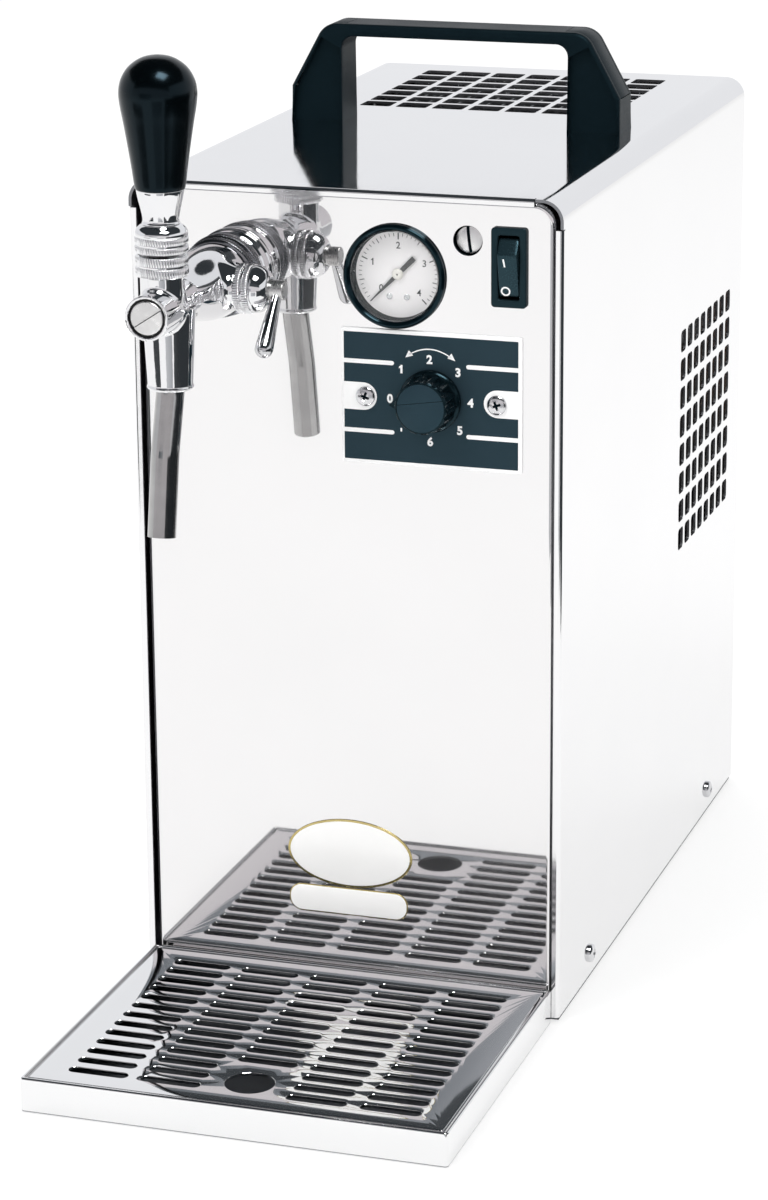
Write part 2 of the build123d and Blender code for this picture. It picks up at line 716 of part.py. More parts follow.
# ---------------------------------------------------------------- tap body
def tap_body():
    """Barrel with a swelling shoulder, the lever's neck, the outlet cone and the compensator's side arm."""
    origin = (tap_x, behind(-tap_front), tap_z)
    start = tap_front - shoulder_front
    end = tap_front - shoulder_back
    middle = (start + end) / 2
    swell = (barrel_r + shoulder_r) / 2 + 1.3
    lines = Line((0, 0, 0), (barrel_r - 0.5, 0, 0)) + Line((barrel_r - 0.5, 0, 0), (barrel_r, 0, 0.5))
    lines += Line((barrel_r, 0, 0.5), (barrel_r, 0, start))
    lines += ThreePointArc((barrel_r, 0, start), (swell, 0, middle), (shoulder_r, 0, end))
    lines += Polyline((shoulder_r, 0, end), (0, 0, end), (0, 0, 0))
    body = facing(origin, BACK) * revolve(make_face(lines), Axis.Z)
    body += rod(neck_r, (tap_x, behind(-neck_y), tap_z), UP, pivot_h - 0.8)
    top_r, rim_r = outlet_r
    body += turned([(0, 0), (top_r + 0.6, 0), (top_r, 10), (rim_r, outlet_drop), (0, outlet_drop)],
                   (tap_x, behind(-outlet_y), tap_z), DOWN)
    body += rod(arm_r, (tap_x, behind(-arm_y), tap_z), RIGHT, arm_end)

    hollow = rod(barrel_bore, (tap_x, behind(-tap_front), tap_z), BACK, tap_front - seat_y)
    hollow += rod(plug_r + fit_gap, (tap_x, behind(-tap_front), tap_z), BACK, plug_t)
    hollow += rod(seat_r, (tap_x, behind(-seat_y), tap_z), BACK, seat_t)
    rear_start = tap_front - seat_y + seat_t
    hollow += turned([(0, rear_start), (barrel_bore + 0.2, rear_start), (barrel_bore + 0.2, rear_start + 12),
                      (shank_bore, rear_start + 22), (shank_bore, end), (0, end)], origin, BACK)
    hollow += rod(neck_bore, (tap_x, behind(-neck_y), tap_z + 7), UP, pivot_h)
    hollow += block(around(tap_x, 2 * finger_tip_r + 1.2), (behind(-neck_y - 5), behind(-neck_y + 9)),
                    (tap_z, tap_z + 7))
    hollow += Pos(tap_x, behind(-neck_y), pivot_z) * Sphere(ball_r + slip)
    hollow += rod(spout_r - spout_wall, (tap_x, behind(-outlet_y), tap_z), DOWN, outlet_drop)
    hollow += rod(spout_r + fit_gap, (tap_x, behind(-outlet_y), tap_z - outlet_drop), UP, outlet_drop - spout_top())
    cup_radius, cup_depth = outlet_cup
    hollow += turned([(0, -1), (cup_radius + 0.3, -1), (cup_radius, 1), (cup_radius - 0.5, cup_depth), (0, cup_depth)],
                     (tap_x, behind(-outlet_y), tap_z - outlet_drop), UP)
    hollow += rod(hub_shaft_r + fit_gap, (tap_x, behind(-arm_y), tap_z), RIGHT, arm_end + 1)
    return body - hollow


def spout_top():
    """Depth below the barrel's axis of the spout's upper end."""
    return outlet_drop - outlet_cup[1] - 9.0


def front_plug():
    """Slotted disc that closes the barrel."""
    x, y, z = tap_x, behind(-tap_front), tap_z
    disc = turned([(0, 0), (plug_r, 0), (plug_r, plug_t - 0.5), (plug_r - 0.5, plug_t), (0, plug_t)], (0, 0, 0), UP)
    disc -= Pos(0, 0, plug_t - plug_slot[1]) * Box(plug_slot[0], 3 * plug_r, 3,
                                                  align=(Align.CENTER, Align.CENTER, Align.MIN))
    return facing((x, y + plug_t, z), FRONT) * (Rot(0, 0, -57) * disc)


def valve():
    """Rod with a front guide and a notch for the lever's finger; its seal sits behind the seat."""
    front = behind(-tap_front) + plug_t + 3.6
    back = behind(-seat_y) + seat_t + 0.2
    axis = (tap_x, front, tap_z)
    bar = rod(barrel_bore - fit_gap, axis, BACK, rod_guide_l) + rod(rod_r, axis, BACK, back - front + seal_t)
    bar -= block(around(tap_x, 3 * rod_r), around(behind(-neck_y), 2 * rod_notch), (tap_z - rod_floor, tap_z + 9))
    bar -= rod(rod_r, (tap_x, back, tap_z), BACK, seal_t + 1) - rod(rod_r / 2, (tap_x, back, tap_z), BACK, seal_t)
    seal = rod(seal_r, (tap_x, back, tap_z), BACK, seal_t) - rod(rod_r / 2 + fit_gap, (tap_x, back, tap_z), BACK,
                                                                seal_t)
    return bar, seal


# ---------------------------------------------------------------- lever
def neck_nut():
    """Nut that holds the lever's ball down in the neck; a cone in its top lets the stem tilt."""
    place = (tap_x, behind(-neck_y), pivot_z)
    flare = (nut_above + 1) * tan(radians(56))
    body = turned([(0, -nut_below), (nut_r, -nut_below), (nut_r, nut_above - 0.5), (nut_r - 0.5, nut_above),
                   (0, nut_above)], place, UP)
    body -= rod(neck_r + fit_gap, (tap_x, behind(-neck_y), pivot_z - nut_below), UP, nut_below - 0.7)
    body -= Pos(*place) * Sphere(ball_r + slip)
    body -= turned([(0, 0), (flare, nut_above + 1), (0, nut_above + 1)], place, UP)
    return body


def lever():
    """Ball with stem and finger, the cupped collar over the neck nut, the ferrule and the pear handle."""
    place = (tap_x, behind(-neck_y), pivot_z)
    ball = Pos(*place) * Sphere(ball_r)
    ball += rod(stem_r, place, UP, collar_top + ferrule_h + handle_bore_depth - slip)
    ball += rod(finger_r, place, DOWN, finger_l)
    ball += Pos(tap_x, behind(-neck_y), pivot_z - finger_l) * Sphere(finger_tip_r)

    bottom = sqrt(cup_r ** 2 - collar_r ** 2)
    bevel_r, bevel_h = collar_bevel
    collar = turned([(0, bottom), (collar_r, bottom), (collar_r, collar_top - bevel_h), (bevel_r + 1, collar_top),
                     (0, collar_top)], place, UP)
    collar -= Pos(*place) * Sphere(cup_r)
    collar -= rod(stem_r + fit_gap, place, UP, 2 * collar_top)

    low, high = ferrule_r
    ferrule = turned([(stem_r + fit_gap, collar_top), (low, collar_top), (low + 0.5, collar_top + 3),
                      (high, collar_top + ferrule_h), (stem_r + fit_gap, collar_top + ferrule_h)], place, UP)

    base = collar_top + ferrule_h
    top = base + handle_l
    middle = top - handle_r * 1.04
    lines = Polyline((0, 0, base), (handle_bottom_r - 0.6, 0, base), (handle_bottom_r, 0, base + 0.6),
                     (handle_r * 0.975, 0, middle - 4))
    lines += ThreePointArc((handle_r * 0.975, 0, middle - 4), (handle_r, 0, middle), (handle_r * 0.96, 0, middle + 4))
    lines += ThreePointArc((handle_r * 0.96, 0, middle + 4), (handle_r * 0.7, 0, middle + 11), (1, 0, top))
    lines += Polyline((1, 0, top), (0, 0, top), (0, 0, base))
    pear = facing(place, UP) * revolve(make_face(lines), Axis.Z)
    pear -= rod(stem_r + fit_gap, (tap_x, behind(-neck_y), pivot_z + base), UP, handle_bore_depth)
    return ball, collar, ferrule, pear


# ---------------------------------------------------------------- compensator
def compensator():
    """Cap on the side arm, hub with its eccentric pin, small lever and the flow cone that the pin shifts."""
    place = (tap_x, behind(-arm_y), tap_z)
    ring_end = arm_end + cap_ring_l
    dome_end = ring_end + cap_dome_l
    bore = hub_shaft_r + fit_gap
    cap = turned([(bore, arm_end), (cap_r, arm_end), (cap_r, ring_end), (cap_r - 1.0, ring_end + 1.2),
                  (cap_dome_r + 1.2, dome_end - 1.4), (cap_dome_r - 0.4, dome_end), (hub_r + slip, dome_end),
                  (hub_r + slip, hub_start - slip), (bore, hub_start - slip)], place, RIGHT)
    pin_start = cone_stem_r + 2 * slip
    hub = turned([(0, hub_start), (hub_r, hub_start), (hub_r, hub_start + hub_l - 0.3),
                  (hub_r - 0.3, hub_start + hub_l), (0, hub_start + hub_l)], place, RIGHT)
    hub += rod(hub_shaft_r, (tap_x + pin_start, behind(-arm_y), tap_z), RIGHT, hub_start - pin_start)
    hub += rod(pin_r, (tap_x, behind(-arm_y), tap_z + pin_offset), RIGHT, pin_start)
    hub += rod(crank_r, (tap_x + pin_start, behind(-arm_y), tap_z + pin_offset), RIGHT, crank_t)

    away = (0, -sin(radians(lever_angle)), -cos(radians(lever_angle)))
    root = hub_r - 1.0
    thin, thick = lever_rod_r
    tip = lever_l
    lines = Polyline((0, 0, root), (thin, 0, root), (thin, 0, hub_r + slip), (thick, 0, tip - thick - 3),
                     (thick, 0, tip - thick))
    lines += ThreePointArc((thick, 0, tip - thick), (thick * sin(radians(45)), 0, tip - thick * (1 - sin(radians(45)))),
                           (0, 0, tip))
    lines += Line((0, 0, tip), (0, 0, root))
    arm_origin = (tap_x + hub_start + lever_root, behind(-arm_y), tap_z)
    arm = facing(arm_origin, away) * revolve(make_face(lines), Axis.Z)
    hub -= facing(arm_origin, away) * Pos(0, 0, root) * Cylinder(
        thin + fit_gap, hub_r, align=(Align.CENTER, Align.CENTER, Align.MIN))

    stem_front = arm_y + 4.6
    stem_l = stem_front - shoulder_back + 1
    thin_r, thick_r = cone_r
    cone = turned([(0, 0), (cone_stem_r, 0), (cone_stem_r, stem_l), (thin_r, stem_l + 2),
                   (thick_r, stem_l + cone_l), (0, stem_l + cone_l)], (tap_x, behind(-stem_front), tap_z), BACK)
    cone -= block(around(tap_x, 30), around(behind(-arm_y), 2 * (pin_r + pin_play)),
                  (tap_z + pin_offset * cos(radians(compensator_turn)) - pin_r - pin_play, tap_z + 12))
    return cap, hub, arm, cone


# ---------------------------------------------------------------- shank and spout
def shank():
    """Threaded tail with its flange on the panel, the coupling nut before it and the nut behind the panel."""
    origin = (tap_x, behind(-coupling_back), tap_z)
    flange_start = coupling_back + panel_recess - shank_flange_t
    panel_at = coupling_back + panel_recess
    tail = coupling_back + shank_end
    body = turned([(shank_bore, 0), (shank_collar_r, 0), (shank_collar_r, 1.2), (shank_collar_r - 0.8, 1.8),
                   (shank_collar_r - 0.8, 2.8), (shank_collar_r, 3.4), (shank_collar_r, flange_start),
                   (shank_flange_r, flange_start + 0.4), (shank_flange_r, panel_at), (shank_r, panel_at),
                   (shank_r, tail), (beer_barb, tail), (beer_barb, tail + nipple_l),
                   (beer_barb - barb_wall, tail + nipple_l), (beer_barb - barb_wall, tail - 3),
                   (shank_bore, tail - 3)], origin, BACK)
    length = coupling_front - coupling_back
    coupling = turned([(shank_bore, 0), (coupling_r - 1.2, 0), (coupling_r - 0.6, 0.6), (coupling_r - 0.6, 3.6),
                       (coupling_r - 1.4, 4.2), (coupling_r - 1.4, 5.0), (coupling_r, 5.6),
                       (coupling_r, length - 0.5), (coupling_r - 0.5, length), (shank_bore, length)],
                      (tap_x, behind(-coupling_front), tap_z), BACK)
    back_nut = nut(nut_af, nut_t, shank_r + fit_gap, (tap_x, panel_back, tap_z), BACK)
    return body, coupling, back_nut


def spout():
    """Bent tube that leans towards the front."""
    path = [(tap_x, behind(-outlet_y), tap_z - spout_top())]
    path += [(tap_x, behind(-distance), tap_z - drop) for distance, drop in spout_bends]
    tube = pipe(path, spout_r, spout_bend_r, spout_r - spout_wall)
    mouth = tube.edges().filter_by(GeomType.CIRCLE).group_by(Axis.Z)[0].sort_by(SortBy.RADIUS)[-1]
    return chamfer(mouth, spout_ease)


# ---------------------------------------------------------------- drip tray
def drip_tray():
    """Shallow tray with an inner ledge that carries the grille."""
    y = (behind(-tray_d), front_y)
    half = tray_w / 2
    tray = block((-half, half), y, (0, tray_h))
    tray = fillet(tray.edges().filter_by(Axis.Z), tray_corner_r)
    inner = half - tray_wall
    grille_z = tray_h - grille_sink - grille_t
    tray -= block((-inner, inner), (y[0] + tray_wall, y[1] - tray_wall), (grille_z, tray_h))
    ledge = inner - tray_ledge
    tray -= block((-ledge, ledge), (y[0] + tray_wall + tray_ledge, y[1] - tray_wall - tray_ledge),
                  (grille_z - tray_floor, grille_z))
    tray -= block((-inner, inner), (y[0] + tray_wall, y[1] - tray_wall), (tray_floor, grille_z - tray_floor))
    return tray


def drip_grille():
    """Perforated plate with rounded slots and a round finger hole in place of the last middle ones."""
    half = tray_w / 2 - tray_wall - grille_gap
    y = (behind(-tray_d) + tray_wall + grille_gap, front_y - tray_wall - grille_gap)
    z = tray_h - grille_sink - grille_t
    plate = block((-half, half), y, (z, z + grille_t))
    cuts = []
    for column in range(slot_columns):
        x = (column - (slot_columns - 1) / 2) * slot_pitch[0]
        for row in range(slot_rows):
            distance = slot_first + row * slot_pitch[1]
            clear = abs(distance - finger_hole_y) > finger_hole_r + slot_size[1]
            if abs(x) > slot_size[0] or clear:
                cuts.append(Pos(x, behind(-distance), z) * extrude(SlotOverall(*slot_size), grille_t))
    cuts.append(rod(finger_hole_r, (0, behind(-finger_hole_y), z), UP, grille_t))
    return plate - cuts


# ---------------------------------------------------------------- cooling block and insulation
def foam_top():
    """Height of the insulation lid's upper side."""
    return base_top + insulation_floor + block_size[2] + insulation_lid


def stub_top():
    """Height of the block's stubs."""
    return foam_top() + stub_rise


def block_stubs():
    """X, distance behind the front edge and radius of the stubs: beer out, beer in, suction."""
    middle = insulation_y + block_skin + block_size[1] / 2
    return (tap_x, beer_out_y, beer_barb), (tap_x, beer_in_y, beer_barb), (suction_port[0], middle, line_r)


def cooling_block():
    """Aluminium block with cast-in coils, closed in a foam box; the coils' ends stand out of the top."""
    width, depth, height = block_size
    y = (behind(insulation_y + block_skin), behind(insulation_y + block_skin) + depth)
    z = (base_top + insulation_floor, base_top + insulation_floor + height)
    core = block(around(0, width), y, z)
    core = chamfer(core.edges().filter_by(Axis.Z), 4)
    foam_x = around(0, width + 2 * block_skin)
    foam_y = (y[0] - block_skin, y[1] + block_skin)
    foam = block(foam_x, foam_y, (base_top, z[1])) - block(around(0, width), y, z)
    foam -= rod(capillary_r + slip, (capillary_x, y[1] - 1, capillary_z()), BACK, block_skin + 2)
    lid = block(foam_x, foam_y, (z[1], foam_top()))
    for x, distance, radius in block_stubs():
        core += rod(radius, (x, behind(distance), z[1] - 1), UP, stub_top() - z[1] + 1)
        lid -= rod(radius + fit_gap, (x, behind(distance), z[1]), UP, insulation_lid)
    return core, foam, lid


# ---------------------------------------------------------------- compressor, condenser and fan
def compressor_top():
    """Height of the compressor's flat top."""
    return base_top + compressor_lift + compressor_foot[2] + compressor_h


def suction_end():
    """Y of the flat end of the compressor's suction port."""
    return behind(compressor_y) - sqrt(compressor_r ** 2 - suction_port[0] ** 2) - 2 * port_r


def compressor():
    """Hermetic can with its weld seam, suction port, foot plate and starter box, on four rubber mounts."""
    foot_z = base_top + compressor_lift
    width, depth, thick = compressor_foot
    seam, seam_h = compressor_seam
    low, high = foot_z + thick, compressor_top()
    middle = (low + high) / 2
    middle_y = behind(compressor_y)
    can = turned([(0, low), (compressor_r * 0.8, low), (compressor_r, low + 12), (compressor_r, middle - seam_h / 2),
                  (compressor_r + seam, middle - seam_h / 2), (compressor_r + seam, middle + seam_h / 2),
                  (compressor_r, middle + seam_h / 2), (compressor_r, high - 22), (compressor_r * 0.84, high - 6),
                  (compressor_r * 0.5, high), (0, high)], (0, middle_y, 0), UP)
    can += block(around(0, width), around(middle_y, depth), (foot_z, low))
    can += rod(port_r, (suction_port[0], suction_end(), suction_port[1]), BACK, middle_y - suction_end())
    box_w, box_d, box_h = starter_size
    can += block((0, compressor_r + box_d), around(middle_y, box_w), around(middle, box_h))
    mounts = []
    for x in (-1, 1):
        for y in (-1, 1):
            spot = (x * (width / 2 - mount_inset), middle_y + y * (depth / 2 - mount_inset), base_top)
            mounts.append(turned([(0, 0), (mount_r, 0), (mount_r, compressor_lift * 0.3),
                                  (mount_r - 2, compressor_lift * 0.45), (mount_r - 2, compressor_lift * 0.6),
                                  (mount_r, compressor_lift * 0.75), (mount_r, compressor_lift),
                                  (0, compressor_lift)], spot, UP))
    return can, mounts


def condenser_box():
    """Y pair and Z pair of the fin pack."""
    depth, height = condenser_size[1:]
    top = inside_top - condenser_gap
    return around(behind(condenser_y), depth), (top - height, top)


def condenser_tube_z():
    """Heights of the condenser's tubes, from the top down."""
    low, high = condenser_box()[1]
    pitch = (high - low) / condenser_rows
    return [high - pitch * (row + 0.5) for row in range(condenser_rows)]


def condenser():
    """Fins on a serpentine tube between two side plates that run back to the rear panel."""
    half = condenser_size[0] / 2
    y, z = condenser_box()
    pack = [block((side * half - side_plate_t * (side < 0), side * half + side_plate_t * (side > 0)),
                  (y[0], rear_inside), z) for side in (-1, 1)]
    pitch = 2 * half / (fin_count + 1)
    pack += [block(around(-half + pitch * (fin + 1), fin_t), y, z) for fin in range(fin_count)]
    heights = condenser_tube_z()
    middle = behind(condenser_y)
    end = half + side_plate_t
    for row, height in enumerate(heights):
        pack.append(rod(condenser_tube_r, (-end, middle, height), RIGHT, 2 * end))
        if row + 1 < condenser_rows:
            side = -1 if row % 2 == 0 else 1
            drop = (heights[row] - heights[row + 1]) / 2
            pack.append(return_bend(side * end, middle, height, 2 * drop))
    return pack[0].fuse(*pack[1:])


def return_bend(x, y, z, drop):
    """Half-round tube that joins two condenser tubes outside a side plate."""
    side = 1 if x > 0 else -1
    reach = condenser_tube_r * 1.2
    points = [(x - side, y, z), (x + side * reach * 1.5, y, z), (x + side * reach * 1.5, y, z - drop),
              (x - side, y, z - drop)]
    return pipe(points, condenser_tube_r, reach)


def fan():
    """Square frame with a ring and struts, the motor in its middle and the bladed rotor."""
    y, z = condenser_box()
    front, middle_z = y[0] - fan_frame_d, sum(z) / 2
    half = fan_frame_w / 2
    frame = block((-half, half), (front, y[0]), (middle_z - half, middle_z + half))
    frame -= rod(fan_ring_r, (0, front, middle_z), BACK, fan_frame_d)
    frame += rod(fan_motor_r + 2, (0, front, middle_z), BACK, fan_strut_t)
    for angle in (45, 135, 225, 315):
        strut = Pos((fan_ring_r + fan_motor_r) / 2, 0, fan_strut_t / 2) * Box(
            fan_ring_r - fan_motor_r + 4, fan_strut_w, fan_strut_t)
        frame += facing((0, front + fan_strut_t, middle_z), FRONT) * (Rot(0, 0, angle) * strut)
    motor_y = front + fan_strut_t
    motor = rod(fan_motor_r, (0, motor_y, middle_z), BACK, fan_motor_l)
    rotor_y = motor_y + fan_motor_l + slip
    rotor_l = y[0] - rotor_y - 1.5
    motor += rod(fan_shaft_r, (0, motor_y, middle_z), BACK, fan_motor_l + slip + rotor_l - 1)
    hub = rod(fan_hub_r, (0, 0, 0), UP, rotor_l)
    length = fan_ring_r - fan_tip_gap - fan_hub_r + 2
    width = min(fan_blade_w, (rotor_l - 1) / sin(radians(fan_blade_pitch)))
    blade = Pos(fan_hub_r - 2 + length / 2, 0, rotor_l / 2) * (
        Rot(fan_blade_pitch, 0, 0) * Box(length, width, fan_blade_t))
    rotor = hub + [Rot(0, 0, 360 / fan_blades * number) * blade for number in range(fan_blades)]
    rotor &= Cylinder(fan_ring_r - fan_tip_gap, rotor_l, align=(Align.CENTER, Align.CENTER, Align.MIN))
    rotor -= Cylinder(fan_shaft_r + fit_gap, rotor_l - 0.5, align=(Align.CENTER, Align.CENTER, Align.MIN))
    return frame, motor, facing((0, rotor_y, middle_z), BACK) * rotor


def drier_ends():
    """Heights of the filter drier's lower and upper end."""
    high = min(condenser_tube_z()[-1], beer_inlet_z) - 30
    return high - drier_l, high


def capillary_z():
    """Height of the capillary's level run into the block."""
    return drier_ends()[0] - 2 * capillary_bend


def refrigerant_lines():
    """Suction, discharge and liquid lines and the capillary, with the filter drier in an upright run."""
    middle_y = behind(condenser_y)
    heights = condenser_tube_z()
    end = condenser_size[0] / 2 + side_plate_t
    x, start_y = block_stubs()[2][:2]
    back_y = behind(insulation_y + block_skin * 2 + block_size[1] + suction_run)
    rise = stub_top() + line_bend + line_r
    suction = pipe([(x, behind(start_y), stub_top()), (x, behind(start_y), rise), (x, back_y, rise),
                    (x, back_y, suction_port[1]), (x, suction_end(), suction_port[1])], line_r, line_bend)
    up_x, up_y = discharge_port[0], behind(compressor_y) + discharge_port[1]
    elbow_z = compressor_top() + line_bend + line_r
    discharge = pipe([(up_x, up_y, compressor_top()), (up_x, up_y, elbow_z), (lines_x, up_y, elbow_z),
                      (lines_x, up_y, heights[0]), (lines_x, middle_y, heights[0]), (end, middle_y, heights[0])],
                     line_r, line_bend)
    low, high = drier_ends()
    liquid = pipe([(-end, middle_y, heights[-1]), (-lines_x, middle_y, heights[-1]), (-lines_x, middle_y, high)],
                  line_r, line_bend)
    drier = turned([(0, low), (line_r, low), (drier_r, low + 6), (drier_r, high - 6), (line_r, high), (0, high)],
                   (-lines_x, middle_y, 0), UP)
    into_block = behind(insulation_y + block_skin + block_size[1])
    level = capillary_z()
    capillary = pipe([(-lines_x, middle_y, low), (-lines_x, middle_y, level), (-lines_x, back_y, level),
                      (capillary_x, back_y, level), (capillary_x, into_block, level)], capillary_r, capillary_bend)
    return [suction, discharge, liquid, capillary], drier


# ---------------------------------------------------------------- air pump and hoses
def pump_top():
    """Height of the pump's upper side, under its head."""
    return foam_top() + pump_foot[1] + pump_size[2]


def nipple_z():
    """Height of the pump's outlet, of the check valve and of the rear air outlet."""
    return pump_top() + pump_head[2] / 2


def air_pump():
    """Diaphragm pump on four rubber feet, with a nipple for the outlet and one for the gauge."""
    x, y = pump_middle[0], behind(pump_middle[1])
    low, high = foam_top() + pump_foot[1], pump_top()
    body = block(around(x, pump_size[0]), around(y, pump_size[1]), (low, high))
    body = fillet(body.edges().filter_by(Axis.X), 4)
    body += block(around(x, pump_head[0]), around(y, pump_head[1]), (high, high + pump_head[2]))
    body += rod(air_barb, (x, y, nipple_z()), LEFT, pump_head[0] / 2 + nipple_l)
    body += rod(air_barb, (x, y, nipple_z()), UP, pump_head[2] / 2 + nipple_l)
    radius, height = pump_foot
    spots = [(x + i * (pump_size[0] / 2 - radius), y + j * (pump_size[1] / 2 - radius))
             for i in (-1, 1) for j in (-1, 1)]
    return body, [rod(radius, (*spot, foam_top()), UP, height) for spot in spots]


def beer_tubes():
    """Hose from the rear inlet to the block and from the block to the tap's shank."""
    inlet_end = rear_inside - fitting_nut[1]
    level = beer_inlet_z
    low = foam_top() + slip
    lead_in = pipe([(hose_x, inlet_end, level), (hose_x, behind(beer_in_y), level), (tap_x, behind(beer_in_y), level),
                    (tap_x, behind(beer_in_y), low)], hose_r, hose_bend, hose_bore)
    lead_out = pipe([(tap_x, behind(beer_out_y), low), (tap_x, behind(beer_out_y), tap_z),
                     (tap_x, behind(shank_end), tap_z)], hose_r, hose_bend, hose_bore)
    return [lead_in, lead_out]


def air_tubes():
    """Hoses from the pump to the check valve, on to the rear outlet, and up to the gauge."""
    x, y = pump_middle[0], behind(pump_middle[1])
    level = nipple_z()
    valve_y = behind(check_valve_y)
    gauge_x, gauge_z = gauge_middle
    gauge_end = panel_back + gauge_body_d + gauge_stem[1]
    first = pipe([(x - pump_head[0] / 2, y, level), (hose_x, y, level), (hose_x, valve_y, level)],
                 air_hose_r, air_bend, air_hose_bore)
    second = pipe([(hose_x, valve_y + check_valve_l, level), (hose_x, rear_inside - fitting_nut[1], level)],
                  air_hose_r, air_bend, air_hose_bore)
    third = pipe([(x, y, pump_top() + pump_head[2]), (x, y, gauge_z), (gauge_x, y, gauge_z),
                  (gauge_x, gauge_end, gauge_z)], air_hose_r, air_bend, air_hose_bore)
    valve = turned([(0, -nipple_l), (air_barb, -nipple_l), (air_barb, 0), (check_valve_r - 1, 0), (check_valve_r, 1),
                    (check_valve_r, check_valve_l - 1), (check_valve_r - 1, check_valve_l),
                    (air_barb, check_valve_l), (air_barb, check_valve_l + nipple_l),
                    (0, check_valve_l + nipple_l)], (hose_x, valve_y, level), BACK)
    return [first, second, third], valve


# ---------------------------------------------------------------- rear fittings
def rear_fitting(stub, z, barb):
    """Push-in stub through the rear panel, its flange outside and its nut and hose barb inside."""
    radius, length = stub
    flange_r, flange_t = fitting_flange
    inner = -sheet - fitting_nut[1]
    tip = flange_t + length
    bore = barb - barb_wall
    body = turned([(bore, inner - fitting_tail), (barb, inner - fitting_tail), (barb, inner), (radius, inner),
                   (radius, 0), (flange_r, 0), (flange_r, flange_t), (radius, flange_t), (radius, tip - 0.6),
                   (radius - 0.6, tip), (bore, tip)], (hose_x, rear_y, z), BACK)
    lock = nut(*fitting_nut, radius + fit_gap, (hose_x, rear_inside - fitting_nut[1], z), BACK)
    return [body, lock]


def cord_gland():
    """Screwed gland for the mains cord, with its nut inside the rear panel."""
    x, z = gland_middle
    inner = -sheet - gland_nut_t - 0.5
    body = turned([(gland_bore, inner), (gland_neck_r, inner), (gland_neck_r, 0), (gland_r, 0),
                   (gland_r, gland_l * 0.5), (gland_r - 2.5, gland_l), (gland_bore, gland_l)], (x, rear_y, z), BACK)
    lock = nut(2 * gland_r, gland_nut_t, gland_neck_r + fit_gap, (x, rear_inside - gland_nut_t, z), BACK)
    return [body, lock]


# ---------------------------------------------------------------- write the nodes
bridge, handle_caps = carry_handle()
plate, plate_screws, thermostat_body = thermostat()
gauge_case, gauge_dial, gauge_lens, gauge_needle = gauge()
switch_housing, rocker = rocker_switch()
regulator_sleeve, slotted_screw = pressure_screw()
valve_rod, valve_seal = valve()
lever_ball, lever_collar, lever_ferrule, lever_handle = lever()
compensator_cap, compensator_hub, compensator_lever, compensator_cone = compensator()
tap_shank, coupling_nut, shank_nut = shank()
block_core, foam_box, foam_lid = cooling_block()
compressor_can, compressor_mounts = compressor()
fan_frame, fan_motor, fan_rotor = fan()
lines, filter_drier = refrigerant_lines()
pump, pump_feet = air_pump()
air_lines, check_valve = air_tubes()

save(
    cover_shell=cover(),
    front_panel=front_panel(),
    rear_panel=rear_panel(),
    base_plate=base_plate(),
    feet=feet(),
    cover_screws=cover_screws(),
    carry_handle=bridge,
    handle_caps=handle_caps,
    handle_bolts=handle_bolts(),
    thermostat_plate=plate,
    plate_screws=plate_screws,
    thermostat_body=thermostat_body,
    thermostat_knob=thermostat_knob(),
    gauge_case=gauge_case,
    gauge_dial=gauge_dial,
    gauge_lens=gauge_lens,
    gauge_needle=gauge_needle,
    switch_housing=switch_housing,
    switch_rocker=rocker,
    regulator_sleeve=regulator_sleeve,
    pressure_screw=slotted_screw,
    blank_badges=badges(),
    tap_body=tap_body(),
    front_plug=front_plug(),
    valve_rod=valve_rod,
    valve_seal=valve_seal,
    neck_nut=neck_nut(),
    lever_ball=lever_ball,
    lever_collar=lever_collar,
    lever_ferrule=lever_ferrule,
    lever_handle=lever_handle,
    compensator_cap=compensator_cap,
    compensator_hub=compensator_hub,
    compensator_lever=compensator_lever,
    compensator_cone=compensator_cone,
    tap_shank=tap_shank,
    coupling_nut=coupling_nut,
    shank_nut=shank_nut,
    spout=spout(),
    drip_tray=drip_tray(),
    drip_grille=drip_grille(),
    cooling_block=block_core,
    insulation_box=foam_box,
    insulation_lid=foam_lid,
    compressor=compressor_can,
    compressor_mounts=compressor_mounts,
    condenser=condenser(),
    fan_frame=fan_frame,
    fan_motor=fan_motor,
    fan_rotor=fan_rotor,
    refrigerant_lines=lines,
    filter_drier=filter_drier,
    air_pump=pump,
    pump_feet=pump_feet,
    beer_tubes=beer_tubes(),
    air_tubes=air_lines,
    check_valve=check_valve,
    beer_inlet=rear_fitting(beer_stub, beer_inlet_z, beer_barb),
    air_outlet=rear_fitting(air_stub, nipple_z(), air_barb),
    cord_gland=cord_gland(),
)
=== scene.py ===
from math import atan2, cos, pi, radians, sin, sqrt

import bmesh
import bpy
import numpy as np
from mathutils import Matrix, Vector
from mathutils.geometry import delaunay_2d_cdt

